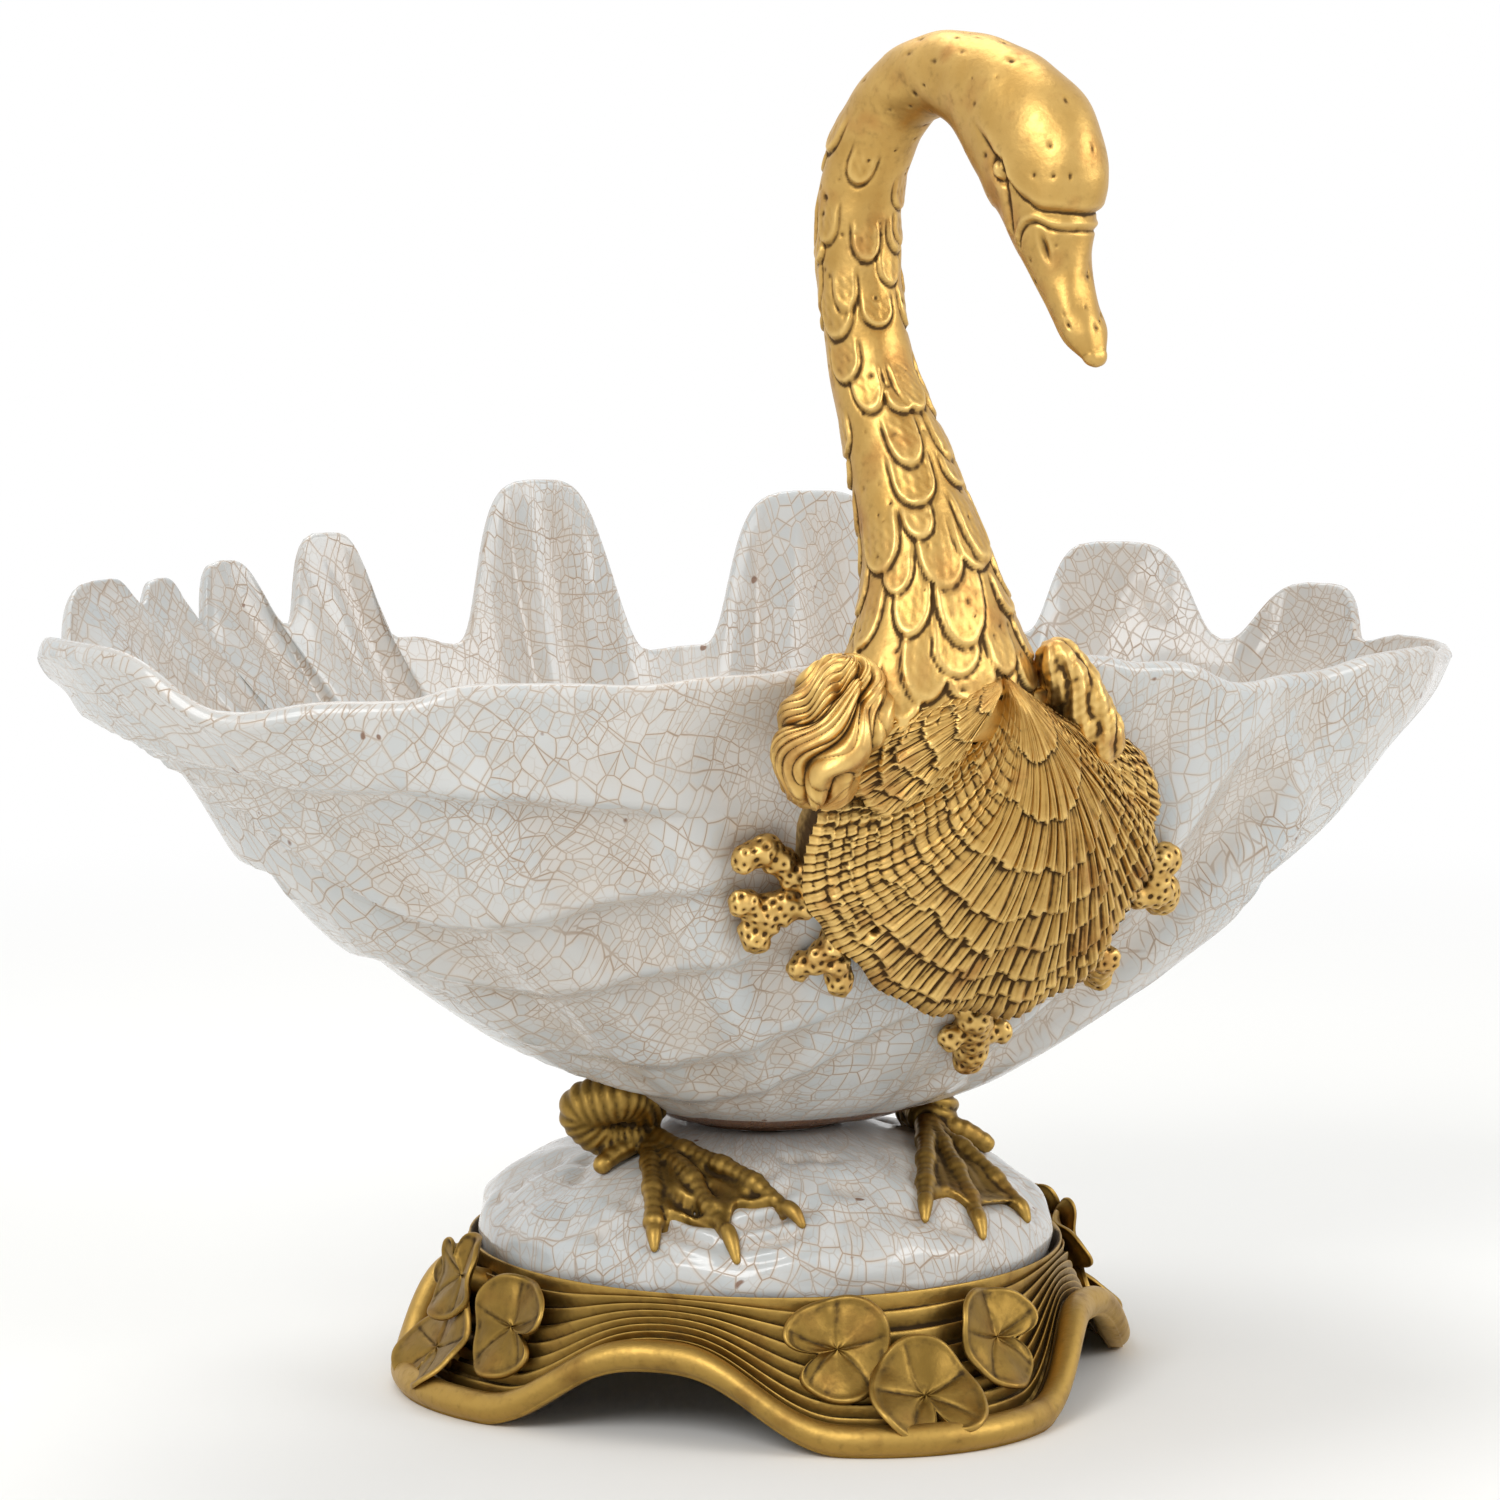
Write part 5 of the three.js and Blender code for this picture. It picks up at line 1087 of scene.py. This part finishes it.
relief += -1.4 * np.exp(-((almond - 1) / 0.34) ** 2) + 1.1 * np.sqrt(np.clip(1 - (almond / 0.85) ** 2, 0, 1))
cheek_lengths, cheek_turns = zip(*CHEEK)
cheek_gap = np.radians(mirrored - np.interp(length, cheek_lengths, cheek_turns)) * round_reach
cheek_part = smooth((length - 244) / 4) * smooth((264 - length) / 3)
cheek_line = -0.85 * np.exp(-(cheek_gap / 0.8) ** 2)
cheek_swell = 0.5 * np.exp(-((cheek_gap + 2.6) / 2.2) ** 2)
relief += cheek_part * (cheek_line + cheek_swell)
collar_turns, collar_lengths = zip(*COLLAR)
collar_gap = length - flowing(mirrored, collar_turns, collar_lengths)
collar_part = smooth((mirrored - 150) / 10)
collar_edge = 0.55 * np.exp(-(collar_gap / 0.95) ** 2)
collar_groove = 0.6 * np.exp(-((collar_gap - 1.7) / 0.7) ** 2)
relief += collar_part * (collar_edge - collar_groove)
slit_along = (length - NOSTRIL[0] - 0.08 * (mirrored - NOSTRIL[1])) / NOSTRIL_LENGTH
slit = np.hypot(slit_along, np.radians(mirrored - NOSTRIL[1]) * round_reach)
relief += -1.3 * np.exp(-slit**2) + 0.12 * np.exp(-((slit - 1.9) / 0.6) ** 2)
beak_seam = np.radians(mirrored - BEAK_SEAM) * round_reach / 0.7
relief += -0.35 * np.exp(-beak_seam**2) * smooth((length - 268) / 5)
for _ in range(CAST_PITS):
    spot = chance.uniform(4, 296)
    facing = chance.uniform(0, 2 * math.pi)
    size = chance.uniform(0.45, 1.0)
    gap = np.hypot(length - spot, np.angle(np.exp(1j * (turn - facing))) * round_reach) / size
    relief -= chance.uniform(0.25, 0.6) * np.exp(-gap**2)
relief += (0.16 * np.sin(0.31 * length + 2.1 * np.cos(turn)) * np.sin(3 * turn + 0.11 * length)
           + 0.07 * np.sin(5 * turn + 0.4 * length))
relief -= FEATHER_SINK
rings = rings + normals * relief[..., None]
end = rings[:, -1]
tip = end.mean(axis=0)
caps = [end + (tip - end) * (1 - math.cos(bend)) + along[-1] * TIP_ROUNDING * math.sin(bend)
        for bend in np.linspace(0.12, math.pi / 2 - 0.02, 11)]
ahead = smooth((WALL_FRONT - rings[:, 0, 1]) / 4)[:, None]
skirt = []
for share in np.linspace(1, 0.08, 12):
    tuck = np.array((0, 0, -ROOT_DROP * share)) - heading * 3.5 * share**2
    skirt.append(rings[:, 0] + tuck * ahead)
bottom = skirt[0]
root = bottom.mean(axis=0)
closing = [bottom + (root - bottom) * share for share in (0.995, 0.5)] + skirt
rings = np.concatenate([np.stack(closing, 1), rings, np.stack(caps, 1)], axis=1)
neck_parts = [skin_of(rings)]

# The plate behind the shells hangs on the bowl's wall: its middle, its half width and height.
BIB_CENTRE = (23.0, 163.0)
BIB_HALF = (33.0, 49.0)
BIB_THICKNESS = 7.0


def front_wall(x, z):
    """The Y of the bowl's front wall, met from in front; above the rim, that of the rim."""
    for height in (z, z - 2, z - 5, z - 9, z - 14):
        hit = wall_tree.ray_cast(Vector((x, -400, height)), Vector((0, 1, 0)))[0]
        if hit and hit.y < 0:
            return hit.y
    return -BOWL_FRONT


bib_turns = np.linspace(0, 2 * np.pi, 96, endpoint=False)
front_rings, back_rings = [], []
for share in (0.02, 0.3, 0.6, 0.85, 0.97, 1):
    x = BIB_CENTRE[0] + np.cos(bib_turns) * BIB_HALF[0] * share
    z = BIB_CENTRE[1] + np.sin(bib_turns) * BIB_HALF[1] * share
    y = np.array([front_wall(a, b) for a, b in zip(x, z)])
    bevel = 1.2 * (share == 1)
    front_rings.append(np.stack([x, y - BIB_THICKNESS + bevel, z], -1))
    back_rings.append(np.stack([x, y - 0.4, z], -1))
neck_parts.append(skin_of(np.stack(front_rings + back_rings[::-1], 1)))
points, faces = joined(neck_parts)
neck = mesh_piece("swan_neck_cast", points, faces, bright_bronze, "gilt_bronze", "swan_neck")
painted_light_and_wear_masks(neck, near=3, wide=20, strong=1.4)

# Scallop shells
# Three scallops cast from life in gilt bronze: fine ribs run out from the hinge and break at each growth
# ledge, the flanks are crossed into cells, and the lip is wavy. They are fixed over the plate.
UMBO = NECK_BASE + heading * 15 + sideways * 5 + (0, 0, 218.5)
# Hinge, length, dome, angle of the left and right edge from straight down, tilt, depth of the skirt, ribs,
# columns, rows, the growth ledges' reach, and how far the left edge draws in towards the hinge.
SCALLOPS = {
    "side_scallop": (UMBO + (10, 7, -8), 80, 13, 6, -68, 22, 24, 36, 300, 150, (13, 26, 38, 50, 61, 70), 0),
    "rear_scallop": (UMBO + (-1, -2.4, -1.2), 52, 9, 80, 22, 14, 20, 20, 220, 120, (11, 21, 30, 38, 45), 0),
    "front_scallop": (UMBO - (0, 2, 0), 121, 17, 50, -58, 25, 30, 62, 560, 165,
                      (23, 43, 63, 80, 92, 104, 113), 55),
}
# The lip's reach as a share of the length, from the right edge to the left.
FRONT_LIP = ((-1, 0.38), (-0.85, 0.67), (-0.59, 0.885), (-0.22, 1), (0.13, 0.895), (0.54, 0.74),
             (0.81, 0.635), (1, 0.5))
LEDGE_STEP = 1.6
# The pin hole near the lip of the front shell: degrees from straight down, reach and radius.
PIN_HOLE = (16, 84, 1.2)
# The share of the ribs that starts at the hinge; the others split off at the ledges.
FIRST_RIBS = 0.2


def scallop(name, hinge, length, dome, left, right, tilt, sink, ribs, columns, rows, ledges, draw):
    """A domed fan with its ribs, growth ledges, crossed flanks and a skirt back to the bowl."""
    lean = math.radians(tilt)
    down = np.array((0, math.sin(lean), -math.cos(lean)))
    out = np.array((0, -math.cos(lean), -math.sin(lean)))
    across = np.array((1.0, 0, 0))
    luck = np.random.RandomState(len(name) + ribs)
    part, share = np.meshgrid(np.linspace(-1, 1, columns), np.linspace(0.012, 1, rows), indexing="ij")
    place_across = (part + 1) / 2
    spread = (left - right) / 2
    angle = np.radians(right + (left - draw * (1 - share) ** 1.2 - right) * place_across)
    lip = flowing(part, *zip(*FRONT_LIP)) if draw else 1 - 0.45 * np.abs(part) ** 2.6
    lip = lip * (1 + 0.012 * np.sin(part * 13) + 0.008 * np.sin(part * 29 + 1))
    reach = length * lip * share
    arch = np.sin(np.pi * (0.12 + 0.85 * share**0.75)) * np.sqrt(smooth(share / 0.07 + 0.05))
    height = dome * arch * (1 - 0.75 * part**2)
    grown = reach / lip
    flank = smooth((part - 0.4) / 0.12) + smooth((-0.68 - part) / 0.1)
    wander = 0.16 * np.sin(part * 23 + 9 * share) + 0.1 * np.sin(part * 51 - 14 * share)
    index = np.clip(np.floor(place_across * ribs).astype(int), 0, ribs)
    jitter = luck.uniform(-1, 1, (ribs + 1, len(ledges) + 1))
    strength = np.minimum(1, 0.3 + share * 1.6)
    saw, start, zone, detail = (np.zeros_like(part) for _ in range(4))
    for k, ledge in enumerate(ledges):
        end = ledge + 1.3 * jitter[index, k] * (ledge / length + 0.2) + 1.2 * np.sin(part * 7 + k * 2.1)
        inside = (grown >= start) & (grown < end)
        saw = np.where(inside, (grown - start) / np.maximum(end - start, 0.5), saw)
        zone += grown >= end
        start = end
        detail = detail + np.where(inside, 0.3 * luck.uniform(-1, 1, ribs + 1)[index] * (0.3 + share), 0)
    saw = np.where(grown >= start, 0.75 * (grown - start) / np.maximum(length - start, 0.5), saw)
    count = np.round(ribs * (FIRST_RIBS + (1 - FIRST_RIBS) * (zone / len(ledges)) ** 1.1))
    spacing = 2 * math.radians(spread) * np.maximum(grown, 8) / count
    phase = np.pi * (place_across * count + wander)
    rib = np.abs(np.cos(phase)) ** 1.1
    line = np.abs(np.cos(2 * phase + 0.6)) ** 0.8
    detail += strength * (0.36 * spacing * (rib - 0.6) + 0.42 * (line - 0.6))
    detail += LEDGE_STEP * (0.55 + 0.45 * share) * (saw**1.4 - 0.35) * (1 - 0.5 * flank)
    cells = np.abs(np.sin(np.pi * grown / 4.9 + 0.9 * np.sin(part * 9))) ** 0.45
    detail += flank * 0.8 * strength * (cells - 0.8)
    if name == "front_scallop":
        at, away, size = PIN_HOLE
        gap = np.hypot(reach - away, (angle - math.radians(at)) * reach) / size
        detail -= 3.0 * np.exp(-gap**4)
    curl = -1.8 * smooth((share - 0.955) / 0.045) ** 2
    ripple = 1.1 * np.sin(part * spread * 0.42) * share**2
    height = height + detail + curl + ripple
    top = (hinge + down * (np.cos(angle) * reach)[..., None] - across * (np.sin(angle) * reach)[..., None]
           + out * height[..., None])
    border = np.concatenate([top[:, -1], top[-1, -2:0:-1], top[::-1, 0], top[0, 1:-1]])
    spine = hinge + down * length * 0.5
    inset = []
    for point in border:
        toward = spine - point
        toward -= out * toward.dot(out)
        toward /= np.linalg.norm(toward)
        hit = wall_tree.ray_cast(Vector(point), Vector(-out))
        deep = min(hit[3] if hit[0] else sink, sink)
        upper = point + toward * 1.4 - out * min(1.6, deep * 0.5)
        inset.append((upper, point + toward * 3.0 - out * (deep - 0.3)))
    inset = np.array(inset)
    side_rings = np.concatenate([border[:, None], inset], axis=1)
    back = hinge + down * length * 0.4 - out * 2
    closing = side_rings[:, -1:] + (back - side_rings[:, -1:]) * 0.04
    side_rings = np.concatenate([side_rings, closing], axis=1)
    points, faces = joined(((top.reshape(-1, 3), grid_faces(columns, rows)),
                            (side_rings.reshape(-1, 3), grid_faces(*side_rings.shape[:2], around=True))))
    made = mesh_piece(name + "_cast", points, faces, bright_bronze, "gilt_bronze", name)
    painted_light_and_wear_masks(made, near=3, wide=26, strong=2.2)


for name, shape in SCALLOPS.items():
    scallop(name, *shape)

# Whelk
# The snail-like shell at the left of the neck is gilt bronze cast over a real one: flame-shaped folds with
# fine strands sweep round it from end to end, and deep hollows open between them.
WHELK_CENTRE = np.array((-49.0, -136.0, 204.0))
WHELK_HALF = (15.5, 15.0, 21.0)
WHELK_LEAN = 4.0
WHELK_COLUMNS = 300
WHELK_ROWS = 200
# The deep hollows: depth, turn about the shell, turn down from its top, and how far each reaches both ways.
WHELK_HOLLOWS = (
    (3.0, 4.3, 0.7, 0.26, 0.3), (2.6, 5.0, 0.95, 0.2, 0.5), (2.6, 3.6, 1.15, 0.3, 0.3),
    (1.8, 5.7, 2.2, 0.3, 0.3), (1.6, 0.6, 1.2, 0.3, 0.4), (2.0, 4.6, 2.3, 0.35, 0.2),
    (1.6, 2.2, 1.5, 0.4, 0.4),
)
spin, lift = np.meshgrid(np.linspace(0, 2 * np.pi, WHELK_COLUMNS, endpoint=False),
                         np.linspace(0.04, math.pi - 0.04, WHELK_ROWS), indexing="ij")
swirl = spin + 1.1 * lift + 0.5 * np.sin(2.3 * lift + spin) + 0.22 * np.sin(4.1 * lift - 2 * spin + 1)
flame = np.abs(np.sin(2.5 * swirl + 1.1 * np.sin(2 * lift + 2 * spin))) ** 0.7
strand = np.abs(np.sin(9 * swirl + 2.6 * np.sin(2 * lift + spin))) ** 0.7
fine = np.sin(37 * swirl + 3 * np.sin(5 * lift))
hollows = sum(deep * np.exp(-(((spin - a + np.pi) % (2 * np.pi) - np.pi) / w) ** 2 - ((lift - b) / h) ** 2)
              for deep, a, b, w, h in WHELK_HOLLOWS)
relief = 3.6 * (flame - 0.8) + 1.0 * (strand - 0.5) + 0.1 * fine - 1.3 * hollows
relief = relief * smooth(lift / 0.4) * smooth((math.pi - lift) / 0.4)
reach = np.sin(lift) * (1 + 0.06 * np.sin(3 * spin + 3.2 * lift))
shell = np.stack([WHELK_HALF[0] * reach * np.cos(spin) + WHELK_LEAN * np.cos(lift),
                  WHELK_HALF[1] * reach * np.sin(spin), WHELK_HALF[2] * np.cos(lift)], -1)
outward = shell / np.linalg.norm(shell, axis=-1, keepdims=True)
shell = WHELK_CENTRE + shell + outward * relief[..., None]
faces = grid_faces(WHELK_COLUMNS, WHELK_ROWS, around=True)[:, ::-1]
whelk = mesh_piece("whelk_cast", shell.reshape(-1, 3), faces, bright_bronze, "gilt_bronze", "whelk_shell")
painted_light_and_wear_masks(whelk, near=3, wide=60, strong=1.8)

# Ridged shell
# The small shell at the right of the neck is gilt bronze, wound with coarse ridges like a rope.
RIDGED_TOP = np.array((23.0, -131.0, 224.0))
RIDGED_FOOT = np.array((42.5, -130.0, 192.0))
RIDGED_RADII = (4.6, 6.8, 7.8, 7.4, 4.8)
RIDGED_GRAIN = 0.6


def rope_ridges(length, turn):
    """Twisted ridges along the shell, crossed by fine threads."""
    ridge = np.abs(np.sin(2.5 * turn + 0.16 * length + 0.5 * np.sin(0.4 * length))) ** 0.8
    thread = np.abs(np.sin(7.5 * turn + 0.4 * length)) * 0.7
    beads = 0.3 * np.sin(np.pi * length / 1.7 + 1.5 * turn) * np.sin(0.7 * length)
    return 2.2 * ridge - 1.5 + thread + beads


path = [RIDGED_TOP + (RIDGED_FOOT - RIDGED_TOP) * share for share in (-0.04, 0.25, 0.5, 0.75, 1.04)]
limbs = [tube(path, RIDGED_RADII, rope_ridges, sides=72, per=0.4)]
made = cast_together("ridged_shell", limbs, RIDGED_GRAIN, bright_bronze, "gilt_bronze", "ridged_shell")
painted_light_and_wear_masks(made, near=2, wide=20, strong=2.8)

# Coral sprigs
# Short branches of coral, cast in gilt bronze and fixed round the scallops, pitted all over with small
# round pores about 2 mm across.
# Each branch from its foot to its tip: X, height from the rim's, and radius.
CORAL_LIMBS = {
    "coral_left_high": (((-37, -57, 4.8), (-46, -50, 4.6), (-55, -44, 4.4), (-64, -48, 3.6)),
                        ((-37, -59, 4.8), (-50, -63, 5.4), (-54, -74, 4.4)),
                        ((-51, -63, 4.8), (-62, -57, 3.8))),
    "coral_left_low": (((-28, -71, 4.2), (-32, -77, 4), (-38, -82, 3.6)),
                       ((-28, -76, 4.2), (-23, -89, 3.7))),
    "coral_bottom": (((24, -98, 5.2), (30, -107, 5), (34, -119, 4.4)), ((30, -107, 4.2), (17, -107, 3.6)),
                     ((31, -106, 4.2), (43, -107, 3.6))),
    "coral_right_low": (((66, -84, 4.6), (72, -91, 4.2), (75, -96, 3.6)),),
    "coral_right_middle": (((66, -65, 5), (76, -64, 5.2), (87, -71, 4.4)),
                           ((75, -64, 5), (75, -54, 4.6), (82, -57, 3.8))),
    "coral_right_high": (((50, -24, 4.2), (58, -24, 4.2), (62, -28, 3.6)),),
}
CORAL_STAND = 2.0
CORAL_GRAIN = 0.5
PORE_SPACING = 2.5
PORE_RADIUS = 0.85
PORE_DEPTH = 0.75


def knobbly(length, turn):
    """The uneven swelling of a coral branch."""
    return 0.45 * np.sin(0.9 * length + 1.3 * np.sin(turn)) + 0.3 * np.sin(3 * turn + 0.7 * length)


def pores(points):
    """Pits of one size, spread over the skin with even spaces."""
    luck = random.Random(3)
    order = list(range(len(points)))
    luck.shuffle(order)
    kept = []
    cells = {}
    for k in order:
        cell = tuple((points[k] // PORE_SPACING).astype(int))
        near = (n for dx in (-1, 0, 1) for dy in (-1, 0, 1) for dz in (-1, 0, 1)
                for n in cells.get((cell[0] + dx, cell[1] + dy, cell[2] + dz), ()))
        if all(np.linalg.norm(points[k] - points[n]) >= PORE_SPACING for n in near):
            cells.setdefault(cell, []).append(k)
            kept.append(k)
    tree = KDTree(len(kept))
    for n, k in enumerate(kept):
        tree.insert(points[k], n)
    tree.balance()
    gap = np.array([tree.find(point)[2] for point in points])
    return -PORE_DEPTH * np.exp(-((gap / PORE_RADIUS) ** 2)) + 0.12


for name, branches in CORAL_LIMBS.items():
    limbs = []
    for branch in branches:
        path = [(x, front_wall(x, RIM_HEIGHT + drop) - radius - CORAL_STAND, RIM_HEIGHT + drop)
                for x, drop, radius in branch]
        limbs.append(tube(path, [radius for _, _, radius in branch], knobbly, sides=32, per=0.5))
    x, drop, radius = branches[0][0]
    y, z = front_wall(x, RIM_HEIGHT + drop), RIM_HEIGHT + drop
    foot = [(x, y - radius - CORAL_STAND, z), (x, y - 3, z), (x, y + 2, z)]
    limbs.append(tube(foot, (radius * 0.8,) * 3, sides=24))
    made = cast_together(name, limbs, CORAL_GRAIN, bright_bronze, "gilt_bronze", name, reliefs=pores)
    painted_light_and_wear_masks(made, near=2, wide=8, strong=2.8)

# Fasteners and the bedding washer
# The rod, studs, nuts, washers and clamp bar are turned or cut brass, and the bedding ring between bowl
# and stand is vegetable-tanned leather. They keep their solid shapes, with a finish on each.
BRASS = "#B79A55"
BRASS_DARK = "#7C6330"
LEATHER = "#6B4A2E"
LEATHER_DARK = "#4A311D"


def turned_brass():
    """Lacquered brass from the lathe: satin yellow with a fine line and a brown film."""
    material = blank_material("turned_brass")
    tree = material.node_tree
    spot = add(tree, "TexCoord").outputs["Object"]
    film = add(tree, "TexNoise", Vector=spot, Scale=120.0, Detail=4.0).outputs["Fac"]
    film = add(tree, "MapRange", Value=film, From_Min=0.35, From_Max=0.75).outputs[0]
    line = add(tree, "TexWave", {"bands_direction": "Z"}, Vector=spot, Scale=900.0, Distortion=1.5)
    tint = add(tree, "Mix", {"data_type": "RGBA"}, i0=film, i6=linear(BRASS), i7=linear(BRASS_DARK))
    rough = add(tree, "MapRange", Value=film, To_Min=0.28, To_Max=0.5)
    tool = add(tree, "Bump", Strength=0.15, Distance=0.0001, Height=line.outputs["Fac"])
    surface = add(tree, "BsdfPrincipled", Base_Color=tint.outputs[2], Metallic=1.0,
                  Roughness=rough.outputs[0], Normal=tool.outputs[0])
    add(tree, "OutputMaterial", Surface=surface.outputs[0])
    return material


def tanned_leather():
    """Vegetable-tanned leather: matt brown with a pebbled grain of about 0.6 mm."""
    material = blank_material("tanned_leather")
    tree = material.node_tree
    spot = add(tree, "TexCoord").outputs["Object"]
    pebble = add(tree, "TexVoronoi", Vector=spot, Scale=1600.0).outputs["Distance"]
    tint = add(tree, "Mix", {"data_type": "RGBA"}, i0=pebble, i6=linear(LEATHER), i7=linear(LEATHER_DARK))
    skin = add(tree, "Bump", Strength=0.5, Distance=0.0002, Height=pebble)
    surface = add(tree, "BsdfPrincipled", Base_Color=tint.outputs[2], Roughness=0.8, Normal=skin.outputs[0])
    add(tree, "OutputMaterial", Surface=surface.outputs[0])
    return material


FINISHES = {
    "brass_fastener": turned_brass(),
    "leather": tanned_leather(),
    "gilt_bronze": bright_bronze,
    "antique_gilt_bronze": dull_bronze,
    "crackle_porcelain": bowl_glaze,
}
for subpart in frame["record"]["subparts"]:
    carried = frame["nodes"][subpart["node"]]
    carried.data.materials.clear()
    carried.data.materials.append(FINISHES[subpart["material_slot"]])
